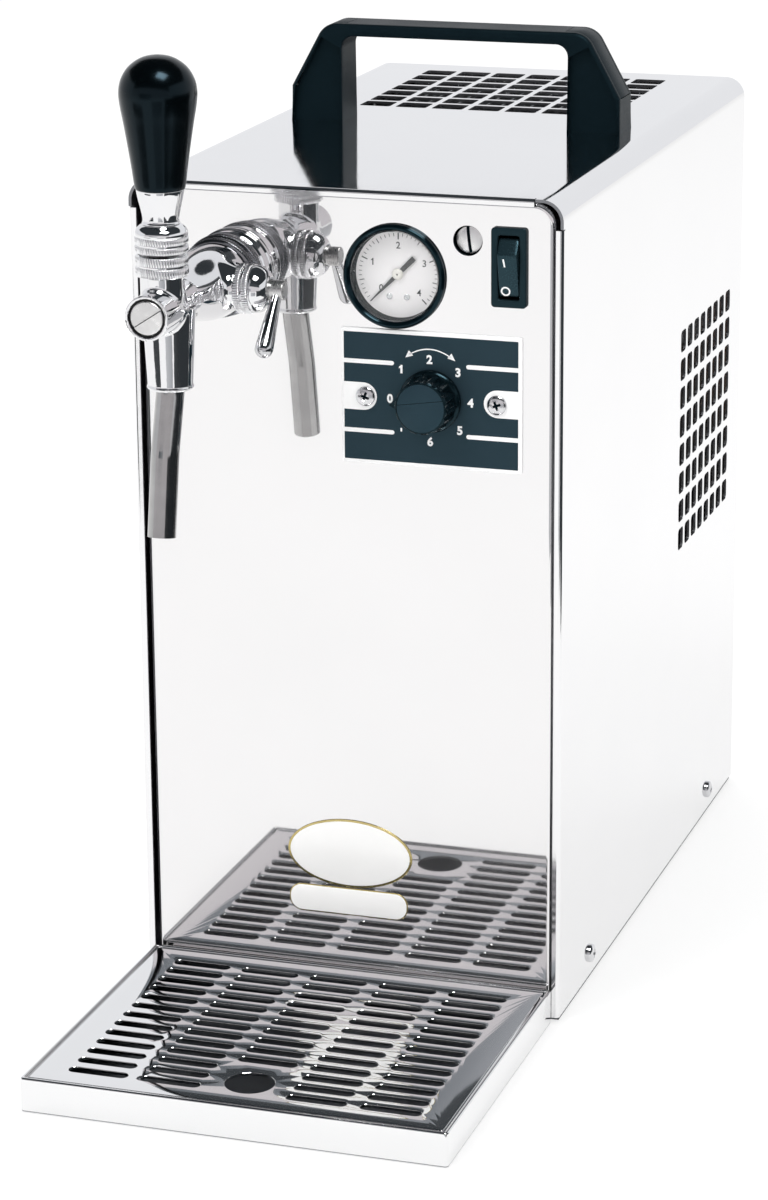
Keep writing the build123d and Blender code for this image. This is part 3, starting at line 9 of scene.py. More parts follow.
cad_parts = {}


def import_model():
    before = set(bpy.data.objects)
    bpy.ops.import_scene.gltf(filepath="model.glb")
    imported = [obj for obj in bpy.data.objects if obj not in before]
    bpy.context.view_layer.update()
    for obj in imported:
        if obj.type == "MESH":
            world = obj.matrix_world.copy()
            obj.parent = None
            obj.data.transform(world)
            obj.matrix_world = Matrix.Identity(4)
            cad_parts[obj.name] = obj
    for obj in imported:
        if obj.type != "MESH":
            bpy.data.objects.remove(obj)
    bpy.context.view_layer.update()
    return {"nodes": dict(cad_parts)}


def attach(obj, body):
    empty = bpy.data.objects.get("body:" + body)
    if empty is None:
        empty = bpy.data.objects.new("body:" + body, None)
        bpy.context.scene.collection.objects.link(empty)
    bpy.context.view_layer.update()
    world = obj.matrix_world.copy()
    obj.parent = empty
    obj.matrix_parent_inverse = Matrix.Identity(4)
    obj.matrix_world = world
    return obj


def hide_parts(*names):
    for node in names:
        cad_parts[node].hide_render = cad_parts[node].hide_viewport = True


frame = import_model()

# Visual model of a compact countertop beer cooler. All sizes here are millimetres in the frame's own axes:
# +Z up, -Y to the tap and the tray, +X to the vented side. Pieces are scaled to metres as they are made;
# only the studio at the end of the file is laid out in metres.

MM = 0.001
TINY = 1e-6

# ---------------------------------------------------------------- sizes that the CAD frame fixes
FRONT, BACK, SIDE, TOP = -92.0, 213.0, 87.5, 331.8
SHEET, BEND, LIFT = 1.2, 8.6, 1.8
PANEL = FRONT + 2.0
TAP = (-45.0, FRONT, 298.1)
NECK_OUT, OUTLET_OUT, ARM_OUT, BARREL_OUT = 74.0, 68.3, 31.0, 91.0
PIVOT = (-45.0, FRONT - NECK_OUT, 314.0)
PLATE = (34.9, 251.3)
GAUGE = (20.7, 299.4)
SWITCH = (65.95, 304.9)
SCREW = (49.4, 314.2)
TRAY_MIDDLE = FRONT - 70.5


def behind(distance):
    """Y of a place this far behind the cover's front edge."""
    return FRONT + distance


# ---------------------------------------------------------------- placements
def spot(origin, out=(0, 0, 1), across=(1, 0, 0)):
    """Placement whose local +Z looks along out and local +X along across."""
    z, x = Vector(out).normalized(), Vector(across).normalized()
    turn = Matrix((x, z.cross(x), z)).transposed().to_4x4()
    turn.translation = origin
    return turn


def facing(x, z, y=PANEL):
    """Placement on a panel that faces the front: local +X is right, +Y is up, +Z stands out."""
    return spot((x, y, z), (0, -1, 0))


def sideways(distance, z=TAP[2]):
    """Placement on the tap whose local +Z points to the right and local +X to the back."""
    return spot((TAP[0], behind(-distance), z), (1, 0, 0), (0, 1, 0))


def ahead(distance):
    """Placement on the tap's barrel whose local +Z points to the front."""
    return spot((TAP[0], behind(-distance), TAP[2]), (0, -1, 0))


def spun(angle):
    """Turn about the local Z axis, in degrees."""
    return Matrix.Rotation(radians(angle), 4, "Z")


ORIGIN = spot((0, 0, 0))


# ---------------------------------------------------------------- shapes: (points, faces) pairs
def moved(shape, place):
    points, faces = shape
    return ([tuple(place @ Vector(p)) for p in points], faces) if place else shape


def joined(*shapes):
    points, faces = [], []
    for some, more in shapes:
        first = len(points)
        points += some
        faces += [tuple(first + i for i in face) for face in more]
    return points, faces


def rotated(loop, angle):
    """2-D points turned about their origin."""
    c, s = cos(angle), sin(angle)
    return [(x * c - y * s, x * s + y * c) for x, y in loop]


def shifted(loop, x, y):
    return [(px + x, py + y) for px, py in loop]


def arc(x, y, radius, start, end, steps):
    """Points on a circle from one angle to another."""
    angles = [start + (end - start) * k / steps for k in range(steps + 1)]
    return [(x + radius * cos(a), y + radius * sin(a)) for a in angles]


def ellipse(x, y, a, b, count=120):
    return [(x + a * cos(2 * pi * k / count), y + b * sin(2 * pi * k / count)) for k in range(count)]


def circle(x, y, radius, count=48):
    return ellipse(x, y, radius, radius, count)


def box(x, y):
    """Rectangle about the origin, by its half sizes."""
    return [(-x, -y), (x, -y), (x, y), (-x, y)]


def rounded(x, y, width, height, radius, steps=4):
    """Rounded rectangle about its middle."""
    points = []
    for turn, (sx, sy) in enumerate(((1, 1), (-1, 1), (-1, -1), (1, -1))):
        middle = x + sx * (width / 2 - radius), y + sy * (height / 2 - radius)
        points += arc(*middle, radius, pi / 2 * turn, pi / 2 * (turn + 1), steps)
    return points


def eased(outline, radius, steps=3, closed=False):
    """Outline with its corners rounded; an entry may carry a flag after its two coordinates."""
    result, count = [], len(outline)
    for i, corner in enumerate(outline):
        here = Vector(corner[:2])
        before = Vector(outline[i - 1][:2]) - here
        after = Vector(outline[(i + 1) % count][:2]) - here
        end_point = not closed and i in (0, count - 1)
        if end_point or min(before.length, after.length) < TINY or before.angle(after) > radians(176):
            result.append(tuple(corner))
            continue
        reach = min(radius, 0.45 * before.length, 0.45 * after.length)
        start, end = here + before.normalized() * reach, here + after.normalized() * reach
        for k in range(steps + 1):
            t = k / steps
            point = start * (1 - t) ** 2 + here * 2 * t * (1 - t) + end * t ** 2
            result.append((point.x, point.y) + tuple(corner[2:]))
    return result


def inset(loop, amount):
    """Loop moved to its left by an amount, so a counter-clockwise loop shrinks; a point may carry a share of it."""
    result, count = [], len(loop)
    for i, (x, y, *share) in enumerate(loop):
        here = Vector((x, y))
        before = (here - Vector(loop[i - 1][:2])).normalized()
        after = (Vector(loop[(i + 1) % count][:2]) - here).normalized()
        normal = Vector((-before.y - after.y, before.x + after.x))
        scale = normal.length
        if scale >= TINY:
            normal /= scale
            here += normal * amount * (share[0] if share else 1.0) / max(0.4, scale / 2)
        result.append(tuple(here))
    return result


def filled(loops):
    """Triangles of an outline with holes, as indices into all the loops' points in turn."""
    points, edges = [], []
    for loop in loops:
        first = len(points)
        points += [Vector(p[:2]) for p in loop]
        edges += [(first + i, first + (i + 1) % len(loop)) for i in range(len(loop))]
    made = delaunay_2d_cdt(points, edges, [], 0, 1e-7)
    back = [ids[0] if ids else None for ids in made[3]]
    faces = [tuple(back[i] for i in face) for face in made[2] if all(back[i] is not None for i in face)]
    flat = np.array([tuple(p) for p in points])
    middle = flat[np.array(faces)].mean(axis=1)
    inside = np.zeros(len(faces), bool)
    for a, b in edges:
        (x0, y0), (x1, y1) = flat[a], flat[b]
        if y0 != y1:
            passed = (middle[:, 1] < y0) != (middle[:, 1] < y1)
            inside ^= passed & (middle[:, 0] < x0 + (middle[:, 1] - y0) * (x1 - x0) / (y1 - y0))
    return [face for face, within in zip(faces, inside) if within]


def band(low, high):
    """Faces between two rings of point numbers, where a ring of one number is a tip."""
    count = max(len(low), len(high))
    sides = [(low[k % len(low)], low[(k + 1) % len(low)], high[(k + 1) % len(high)], high[k % len(high)])
             for k in range(count)]
    return [tuple(dict.fromkeys(side)) for side in sides] if count > 1 else []


def lathe(outline, place, count=96, closed=False, teeth=0, depth=0.0):
    """Solid of revolution about local +Z from (radius, distance[, knurl]) points."""
    points, faces, rings = [], [], []
    for radius, distance, *knurl in outline:
        size = 1 if radius < TINY else count
        rings.append(list(range(len(points), len(points) + size)))
        for k in range(size):
            angle, r = 2 * pi * k / count, radius if size > 1 else 0.0
            if knurl and depth:
                r -= depth * knurl[0] * min(1.0, max(0.0, 0.45 + 1.1 * cos(angle * teeth)))
            points.append((r * cos(angle), r * sin(angle), distance))
    for low, high in zip(rings, rings[1:] + rings[:1] * closed):
        faces += band(low, high)
    return moved((points, faces), place)


def turned_ring(outline, place, count, ease, steps=3):
    """Lathe-turned ring with eased corners."""
    return lathe(eased(outline, ease, steps, True), place, count, True)


def knurled_ring(outline, place, teeth=60, depth=0.5):
    """Lathe-turned ring whose flagged points carry teeth."""
    return lathe(outline, place, 10 * teeth, True, teeth, depth)


def tower(loops, place=None, close_start=True, close_end=True, ring=False):
    """Skin over equal loops of 3-D points, closed at its ends or joined into a ring."""
    count, faces = len(loops[0]), []
    rings = [list(range(i * count, (i + 1) * count)) for i in range(len(loops))]
    for low, high in zip(rings, rings[1:] + rings[:1] * ring):
        faces += band(low, high)
    if close_start and not ring:
        faces.append(tuple(rings[0][::-1]))
    if close_end and not ring:
        faces.append(tuple(rings[-1]))
    return moved(([tuple(p) for loop in loops for p in loop], faces), place)


def slab(outline, holes=(), low=0.0, high=1.0, ease=0.0, place=None, steps=3, both=False):
    """Plate between two levels with rounded upper, or upper and lower, edges; loops run counter-clockwise."""
    turns = [pi / 2 * k / steps for k in range(1, steps + 1)] if ease else []
    edge = [(ease * (1 - sin(turn)), ease * (1 - cos(turn))) for turn in turns]
    levels = [(low + up, cut) for up, cut in edge[::-1]] if both else []
    levels += [(low + ease * both, 0.0), (high - ease, 0.0)] + [(high - up, cut) for up, cut in edge]
    loops = [outline] + [hole[::-1] for hole in holes]
    points, faces, rings = [], [], []
    for height, cut in levels:
        for loop in loops:
            rings.append(list(range(len(points), len(points) + len(loop))))
            points += [(p[0], p[1], height) for p in (inset(loop, cut) if cut else loop)]
    for start, following in zip(rings, rings[len(loops):]):
        faces += band(start, following)
    upper = rings[-len(loops):]
    lid = filled([[points[i][:2] for i in ring] for ring in upper])
    faces += [tuple(upper[0][0] + i for i in face) for face in lid]
    faces += [tuple(reversed(face)) for face in lid]
    return moved((points, faces), place)


def corner_arc(before, here, after, radius):
    """Middle of the arc that rounds a corner, and the arc's two ends seen from there."""
    before, after = (before - here).normalized(), (after - here).normalized()
    half = before.angle(after) / 2
    reach = radius * cos(half) / sin(half)
    middle = here + (before + after).normalized() * radius / sin(half)
    return middle, here + before * reach - middle, here + after * reach - middle


def bent_path(corners, radius, steps):
    """Straight runs joined by arcs."""
    corners = [Vector(c) for c in corners]
    result = [corners[0]]
    for trio in zip(corners, corners[1:], corners[2:]):
        middle, start, end = corner_arc(*trio, radius)
        result += [middle + start.slerp(end, k / steps).normalized() * radius for k in range(steps + 1)]
    return result + [corners[-1]]


def tube(path, radius, bore, count):
    """Round tube along 3-D points."""
    last = len(path) - 1
    tangents = [(path[min(i + 1, last)] - path[max(i - 1, 0)]).normalized() for i in range(last + 1)]
    side = tangents[0].orthogonal().normalized()
    outer, inner = [], []
    for point, tangent in zip(path, tangents):
        side = (side - tangent * side.dot(tangent)).normalized()
        up = tangent.cross(side)
        for loops, reach in ((outer, radius), (inner, bore)):
            loops.append([point + side * x + up * y for x, y in circle(0, 0, reach, count)])
    return tower(outer + inner[::-1], ring=True)


# ---------------------------------------------------------------- objects
def meshed(name, points, faces, outward=False):
    """Mesh from points and faces; outward makes all its faces look out."""
    mesh = bpy.data.meshes.new(name)
    mesh.from_pydata([tuple(p) for p in points], [], faces)
    if outward:
        work = bmesh.new()
        work.from_mesh(mesh)
        bmesh.ops.recalc_face_normals(work, faces=work.faces)
        work.to_mesh(mesh)
        work.free()
    return mesh


def placed(name, data):
    """Object around its data, linked into the scene."""
    obj = bpy.data.objects.new(name, data)
    bpy.context.scene.collection.objects.link(obj)
    return obj


def harvested(first, *others):
    """Shape of an object with its modifiers; it and the others are removed."""
    mesh = bpy.data.meshes.new_from_object(first.evaluated_get(bpy.context.evaluated_depsgraph_get()))
    shape = [tuple(v.co) for v in mesh.vertices], [tuple(p.vertices) for p in mesh.polygons]
    bpy.data.meshes.remove(mesh)
    for obj in (first, *others):
        data, store = obj.data, bpy.data.meshes if obj.type == "MESH" else bpy.data.curves
        bpy.data.objects.remove(obj)
        store.remove(data)
    return shape


def subtracted(shape, *cutters):
    """Shape with other closed shapes cut out of it."""
    made = [placed("cut", meshed("cut", *some, outward=True)) for some in (shape, *cutters)]
    for cutter in made[1:]:
        tool = made[0].modifiers.new("cut", "BOOLEAN")
        tool.operation, tool.solver, tool.object = "DIFFERENCE", "EXACT", cutter
    return harvested(*made)


def lettering(text, size, x, y, thick, low, high):
    """Raised print of a digit about (x, y); the one is drawn with a flag."""
    if text == "1":
        tall, wide = 0.36 * size, 0.055 * size + thick
        flag = -0.21 * size
        stroke = [(-wide, -tall), (wide, -tall), (wide, tall), (-0.6 * wide, tall), (-wide, 0.8 * tall),
                  (flag, 0.56 * tall), (flag, 0.56 * tall - 1.6 * wide), (-wide, 0.8 * tall - 1.7 * wide)]
        return slab(shifted(stroke, x, y), (), low, high)
    curve = bpy.data.curves.new("print", "FONT")
    curve.body, curve.size, curve.offset = text, size, thick
    curve.align_x, curve.align_y = "CENTER", "CENTER"
    curve.resolution_u = 3
    curve.extrude = (high - low) / 2
    points, faces = harvested(placed("print", curve))
    middle = [(max(p[axis] for p in points) + min(p[axis] for p in points)) / 2 for axis in (0, 1)]
    return [(px - middle[0] + x, py - middle[1] + y, pz + (high + low) / 2) for px, py, pz in points], faces


# ---------------------------------------------------------------- pieces
def settled(obj, body, stands_for):
    """Ties an object to the body it rides and to the CAD nodes it stands for."""
    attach(obj, body)
    if stands_for:
        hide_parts(*stands_for)


def piece(name, shape, finish, body="cabinet", stands_for=(), sharp=35.0, outward=True):
    """Object in metres that rides a body and takes its place among the CAD nodes."""
    points, faces = shape
    mesh = meshed(name, [(x * MM, y * MM, z * MM) for x, y, z in points], faces, outward)
    mesh.shade_smooth()
    mesh.set_sharp_from_angle(angle=radians(sharp))
    mesh.materials.append(finish)
    settled(placed(name, mesh), body, stands_for)


def keep(finish, *nodes, ease=0.0):
    """CAD nodes that stay as they are, with a finish and, where asked, lightly rounded edges."""
    for node in nodes:
        obj = frame["nodes"][node]
        obj.data.materials.clear()
        obj.data.materials.append(finish)
        weld = obj.modifiers.new("weld", "WELD")
        weld.merge_threshold = 0.002 * MM
        if ease:
            bevel = obj.modifiers.new("ease", "BEVEL")
            bevel.width = ease * MM
            bevel.segments = 3
            bevel.limit_method = "ANGLE"
            bevel.angle_limit = radians(40)
            bevel.harden_normals = True


# ---------------------------------------------------------------- finishes
class Nodes:
    """Small builder for the nodes of a material or a world."""

    def __init__(self, owner, kind="ShaderNodeOutputMaterial"):
        owner.use_nodes = True
        self.owner, self.tree = owner, owner.node_tree
        self.tree.nodes.clear()
        self.output = self.node(kind)

    def node(self, kind, sockets=None, **settings):
        """Node whose sockets take values or the outputs of other nodes."""
        made = self.tree.nodes.new(kind)
        for key, value in settings.items():
            setattr(made, key, value)
        for socket, value in (sockets or {}).items():
            if isinstance(value, bpy.types.NodeSocket):
                self.tree.links.new(value, made.inputs[socket])
            else:
                made.inputs[socket].default_value = value
        return made

    def surface(self, shader):
        self.tree.links.new(shader, self.output.inputs["Surface"])

    def mixed(self, share, first, second):
        return self.node("ShaderNodeMixShader", {0: share, 1: first, 2: second}).outputs[0]

    def maths(self, operation, first, second):
        return self.node("ShaderNodeMath", {0: first, 1: second}, operation=operation).outputs[0]

    def glow(self, colour, strength):
        return self.node("ShaderNodeEmission", {"Color": (*colour, 1), "Strength": strength})


class Finish(Nodes):
    """Material around one Principled shader, patterned in object coordinates."""

    def __init__(self, name, **sockets):
        super().__init__(bpy.data.materials.new(name))
        named = {socket.replace("_", " "): value for socket, value in sockets.items()}
        self.shader = self.node("ShaderNodeBsdfPrincipled", named)
        self.surface(self.shader.outputs[0])
        self.place = self.node("ShaderNodeTexCoord").outputs["Object"]

    def drive(self, socket, value):
        self.tree.links.new(value, self.shader.inputs[socket])

    def noise(self, scale, detail=3.0, rough=0.5, along=(1, 1, 1)):
        vector = self.node("ShaderNodeMapping", {"Scale": along, "Vector": self.place}).outputs[0]
        sockets = {"Scale": scale, "Detail": detail, "Roughness": rough, "Vector": vector}
        return self.node("ShaderNodeTexNoise", sockets).outputs["Fac"]

    def ranged(self, value, low, high, start=0.0, end=1.0):
        sockets = {"Value": value, "From Min": start, "From Max": end, "To Min": low, "To Max": high}
        return self.node("ShaderNodeMapRange", sockets).outputs["Result"]

    def blended(self, first, share, second, rest):
        """Two patterns added, each with its own share."""
        return self.maths("ADD", self.ranged(first, 0, share), self.ranged(second, 0, rest))

    def roughness(self, value, low, high, start=0.3, end=0.7):
        self.drive("Roughness", self.ranged(value, low, high, start, end))

    def colour(self, value, first, second, start=0.3, end=0.7):
        sockets = {"Factor": self.ranged(value, 0, 1, start, end), "A": (*first, 1), "B": (*second, 1)}
        self.drive("Base Color", self.node("ShaderNodeMix", sockets, data_type="RGBA").outputs["Result"])

    def bump(self, height, distance):
        sockets = {"Strength": 1.0, "Distance": distance, "Height": height}
        self.drive("Normal", self.node("ShaderNodeBump", sockets).outputs[0])

    def haze(self, share, roughness):
        """Wider second gloss under the mirror, as on lightly brushed sheet."""
        colour = self.shader.inputs["Base Color"].links[0].from_socket
        sockets = {"Metallic": 1.0, "Roughness": roughness, "Base Color": colour}
        wide = self.node("ShaderNodeBsdfPrincipled", sockets)
        self.surface(self.mixed(share, self.shader.outputs[0], wide.outputs[0]))


def sheet_metal(name, tint, shade, low, high, grain=(1, 1, 60), wave=0.00006, coarse=260.0, haze=None):
    """Rolled stainless: fine grain along one axis, faint waves and slightly uneven gloss."""
    made = Finish(name, Metallic=1.0)
    fine = made.noise(coarse, 3.0, 0.6, grain)
    broad = made.noise(9.0, 2.0)
    made.colour(made.noise(14.0, 3.0, 0.55), tint, shade, 0.25, 0.75)
    made.roughness(made.blended(fine, 0.7, broad, 0.3), low, high, 0.25, 0.75)
    made.bump(made.blended(broad, 1, fine, 0.012), wave)
    if haze:
        made.haze(*haze)
    return made.owner


def plated(name, tint, shade, low, high, wave=0.00002):
    """Polished plate with slight unevenness and hairline scratches."""
    made = Finish(name, Metallic=1.0)
    haze = made.noise(160.0, 4.0, 0.6)
    lines = made.noise(900.0, 2.0, 0.5, (1, 0.12, 1))
    made.colour(made.noise(70.0, 2.0), tint, shade)
    made.roughness(made.blended(haze, 0.7, lines, 0.3), low, high, 0.3, 0.75)
    made.bump(made.blended(haze, 1, lines, 0.15), wave)
    return made.owner


def turned_metal(name, tint, shade, low, high, along=(1, 18, 18), wave=0.00003):
    """Lathe-turned metal with fine rings."""
    made = Finish(name, Metallic=1.0)
    rings = made.noise(420.0, 2.0, 0.6, along)
    made.colour(made.noise(120.0, 2.0), tint, shade)
    made.roughness(rings, low, high)
    made.bump(rings, wave)
    return made.owner


COOL, COLD, CLEAR = (0.42, 0.82, 1.0, 1), (0.5, 0.8, 1.0, 1), (1, 1, 1, 1)


def plastic(name, tint, shade, low, high, grain=700.0, wave=0.00004, gloss=0.35, sheen=CLEAR):
    """Moulded plastic with a fine spark-eroded grain."""
    made = Finish(name, Specular_IOR_Level=gloss, Specular_Tint=sheen)
    spark = made.noise(grain, 4.0, 0.65)
    wear = made.noise(35.0, 3.0, 0.55)
    made.colour(wear, tint, shade)
    made.roughness(made.blended(spark, 0.5, wear, 0.5), low, high)
    made.bump(made.blended(spark, 1, wear, 0.4), wave)
    return made.owner


def clear_glass():
    """Glass for the gauge; lamps shine through it without caustics."""
    made = Finish("gauge_glass", IOR=1.45, Transmission_Weight=1.0, Base_Color=(0.97, 0.985, 0.98, 1))
    made.roughness(made.noise(300.0, 2.0), 0.0, 0.02)
    rays = made.node("ShaderNodeLightPath").outputs
    either = made.maths("MAXIMUM", rays["Is Shadow Ray"], rays["Is Diffuse Ray"])
    through = made.node("ShaderNodeBsdfTransparent")
    made.surface(made.mixed(either, made.shader.outputs[0], through.outputs[0]))
    return made.owner


polished = sheet_metal("polished_sheet", (0.83, 0.822, 0.824), (0.81, 0.803, 0.805), 0.015, 0.04, (1, 1, 0.04),
                       0.00003, haze=(0.1, 0.22))
cover_steel = sheet_metal("cover_sheet", (0.85, 0.847, 0.852), (0.83, 0.828, 0.834), 0.045, 0.10, (1, 0.04, 1),
                          0.00004)
grille_steel = sheet_metal("grille_sheet", (0.86, 0.86, 0.862), (0.84, 0.842, 0.846), 0.03, 0.07, (0.04, 1, 1),
                           0.00001)
# Tray pan painted dark: painted shade inside the tray, seen through the grille's slots.
painted_shade_pan = sheet_metal("tray_pan", (0.20, 0.215, 0.23), (0.14, 0.15, 0.165), 0.3, 0.45, (0.04, 1, 1), 0.00004)
tray_steel = sheet_metal("tray_sheet", (0.86, 0.86, 0.862), (0.84, 0.842, 0.846), 0.03, 0.07, (0.04, 1, 1), 0.00003)
# Steel darkened as painted shade: the cover's inside and cut edges, and the tray's sole as a painted contact shadow.
painted_shade_steel = sheet_metal("cut_edge", (0.30, 0.305, 0.32), (0.22, 0.225, 0.24), 0.3, 0.45, (1, 1, 1), 0.00003)
rear_steel = sheet_metal("rear_sheet", (0.72, 0.72, 0.725), (0.66, 0.662, 0.67), 0.22, 0.34, (1, 1, 0.03), 0.00003)
zinc = sheet_metal("zinc_sheet", (0.62, 0.63, 0.65), (0.5, 0.515, 0.54), 0.3, 0.5, (1, 1, 1), 0.00004, 60.0)
soft_chrome = plated("arm_plate", (0.62, 0.62, 0.635), (0.57, 0.572, 0.585), 0.06, 0.13)
tube_steel = plated("tube_steel", (0.47, 0.468, 0.465), (0.38, 0.378, 0.378), 0.09, 0.18, 0.00003)
chrome = plated("chrome_plate", (0.80, 0.80, 0.81), (0.77, 0.772, 0.785), 0.03, 0.085)
# Chrome darkened to stand for the dark reflections on the coupling rings: painted shade.
painted_shade_chrome = plated("ring_plate", (0.25, 0.255, 0.27), (0.19, 0.195, 0.21), 0.06, 0.14)
brushed = turned_metal("brushed_hub", (0.68, 0.675, 0.665), (0.58, 0.575, 0.57), 0.22, 0.38, (16, 1, 1))
plug_steel = turned_metal("turned_disc", (0.84, 0.835, 0.83), (0.76, 0.755, 0.75), 0.25, 0.4, (1, 1, 1))
fastener = plated("zinc_fastener", (0.72, 0.72, 0.73), (0.62, 0.62, 0.64), 0.12, 0.26, 0.00003)
pear_black = plastic("pear_gloss", (0.0004, 0.001, 0.0013), (0.0007, 0.0014, 0.0018), 0.15, 0.22, 500.0, 0.000003,
                     0.22, COLD)
grip_black = plastic("grip_plastic", (0.002, 0.0055, 0.008), (0.003, 0.0072, 0.0102), 0.36, 0.52, 1500.0, 0.00005,
                     0.15, COOL)
knob_black = plastic("knob_plastic", (0.001, 0.0035, 0.005), (0.0016, 0.0045, 0.0062), 0.12, 0.2, 1400.0, 0.00002,
                     0.3, COOL)
knob_face = plastic("knob_cap", (0.013, 0.026, 0.036), (0.017, 0.031, 0.042), 0.3, 0.42, 1400.0, 0.00002, 0.3, COOL)
switch_black = plastic("switch_plastic", (0.006, 0.014, 0.018), (0.009, 0.018, 0.022), 0.34, 0.46, 1600.0, 0.00004,
                       0.22, COOL)
# Gloss black of the gauge's rim and back; on the pressure screw's sleeve it is painted shade in the well.
bezel_black_and_painted_shade = plastic("bezel_enamel", (0.0006, 0.003, 0.0045), (0.001, 0.004, 0.006), 0.10, 0.16, 600.0, 0.000006,
                      0.3, COOL)
# Matt black for the gauge's inner wall, and for dark sheets of painted shade in screw slots and recesses.
matt_black_and_painted_shade = plastic("matt_enamel", (0.002, 0.006, 0.0085), (0.003, 0.0075, 0.0105), 0.55, 0.7, 900.0, 0.00002, 0.0,
                     COOL)
rocker_black = plastic("rocker_plastic", (0.006, 0.014, 0.018), (0.009, 0.018, 0.022), 0.22, 0.32, 1600.0, 0.00002,
                       0.5, COOL)
rubber_black = plastic("foot_rubber", (0.02, 0.02, 0.021), (0.032, 0.032, 0.033), 0.65, 0.85, 900.0, 0.0001)
print_dark = plastic("label_print", (0.015, 0.027, 0.036), (0.018, 0.031, 0.041), 0.34, 0.46, 1200.0, 0.00002, 0.28,
                     COOL)
print_white = plastic("white_print", (0.97, 0.97, 0.97), (0.95, 0.95, 0.95), 0.35, 0.5, 1200.0, 0.00001)
dial_white = plastic("dial_enamel", (0.93, 0.90, 0.91), (0.90, 0.87, 0.88), 0.35, 0.5, 400.0, 0.00001)
dial_ink = plastic("dial_ink", (0.012, 0.014, 0.018), (0.02, 0.022, 0.026), 0.4, 0.5, 800.0, 0.00001)
needle_ink = plastic("needle_paint", (0.035, 0.036, 0.038), (0.055, 0.056, 0.058), 0.32, 0.45, 800.0, 0.00001)
hub_white = plastic("needle_cap", (0.82, 0.79, 0.74), (0.78, 0.75, 0.70), 0.25, 0.4, 800.0, 0.00001)
badge_white = plastic("badge_resin", (0.98, 0.975, 0.965), (0.96, 0.955, 0.945), 0.06, 0.12, 300.0, 0.000006, 0.5)
gilt = turned_metal("badge_rim", (0.62, 0.52, 0.25), (0.52, 0.43, 0.19), 0.18, 0.3, (1, 1, 1), 0.00001)
brass = turned_metal("turned_brass", (0.74, 0.56, 0.27), (0.64, 0.47, 0.21), 0.2, 0.35)
copper = turned_metal("drawn_copper", (0.76, 0.44, 0.30), (0.60, 0.32, 0.21), 0.22, 0.42, (1, 1, 1))
cast = sheet_metal("cast_aluminium", (0.66, 0.665, 0.67), (0.55, 0.555, 0.56), 0.4, 0.6, (1, 1, 1), 0.0002, 90.0)
fins = sheet_metal("fin_sheet", (0.60, 0.61, 0.63), (0.5, 0.51, 0.53), 0.25, 0.4, (1, 0.05, 1), 0.00005)
foam = plastic("moulded_foam", (0.80, 0.74, 0.58), (0.70, 0.63, 0.46), 0.8, 0.95, 260.0, 0.0004)
can_black = plastic("can_paint", (0.016, 0.017, 0.018), (0.026, 0.027, 0.028), 0.25, 0.42, 300.0, 0.00005)
fan_black = plastic("fan_plastic", (0.022, 0.023, 0.025), (0.034, 0.035, 0.037), 0.45, 0.6)
pump_grey = plastic("pump_paint", (0.30, 0.31, 0.33), (0.24, 0.25, 0.27), 0.4, 0.6, 300.0, 0.0001)
case_grey = plastic("case_plastic", (0.70, 0.70, 0.68), (0.62, 0.62, 0.60), 0.4, 0.55)
tube_white = plastic("food_tube", (0.80, 0.82, 0.81), (0.72, 0.74, 0.73), 0.3, 0.45)
tube_blue = plastic("air_tube", (0.06, 0.14, 0.36), (0.045, 0.11, 0.29), 0.3, 0.45)
gland_black = plastic("gland_plastic", (0.022, 0.023, 0.025), (0.032, 0.033, 0.035), 0.4, 0.55)
glass = clear_glass()

# ---------------------------------------------------------------- cover: one sheet, bent and folded
RISE = TOP - BEND - LIFT
ARC = pi / 2 * BEND
WHOLE = 2 * RISE + 2 * ARC + 2 * (SIDE - BEND)
FOLD, NOTCH = 1.5, 3.0
BEND_STEPS, FOLD_STEPS = 12, 6
FOLD_END = -(pi / 2 * FOLD + 1.5)
DEPTH = BACK - FRONT - FOLD
STRIPS = ((0.0, RISE - NOTCH), (RISE + ARC + NOTCH, WHOLE - RISE - ARC - NOTCH), (WHOLE - RISE + NOTCH, WHOLE))


def hood(s, v, depth):
    """Place and outward normal on the cover: s runs round the section, v back from the fold."""
    if s > WHOLE / 2:
        (x, y, z), (nx, ny, nz) = hood(WHOLE - s, v, depth)
        return (-x, y, z), (-nx, ny, nz)
    if s <= RISE:
        x, z, nx, nz = -SIDE, LIFT + s, -1.0, 0.0
    elif s <= RISE + ARC:
        angle = (s - RISE) / BEND
        nx, nz = -cos(angle), sin(angle)
        x, z = -(SIDE - BEND) + BEND * nx, TOP - BEND + BEND * nz
    else:
        x, z, nx, nz = -(SIDE - BEND) + s - RISE - ARC, TOP, 0.0, 1.0
    if v >= 0 or not any(low - 0.01 <= s <= high + 0.01 for low, high in STRIPS):
        return (x - nx * depth, FRONT + FOLD + v, z - nz * depth), (nx, 0.0, nz)
    angle = min(-v / FOLD, pi / 2)
    down = FOLD - (FOLD - depth) * cos(angle) + max(-v - FOLD * pi / 2, 0.0)
    y = FRONT + FOLD - (FOLD - depth) * sin(angle)
    return (x - nx * down, y, z - nz * down), (nx * cos(angle), -sin(angle), nz * cos(angle))


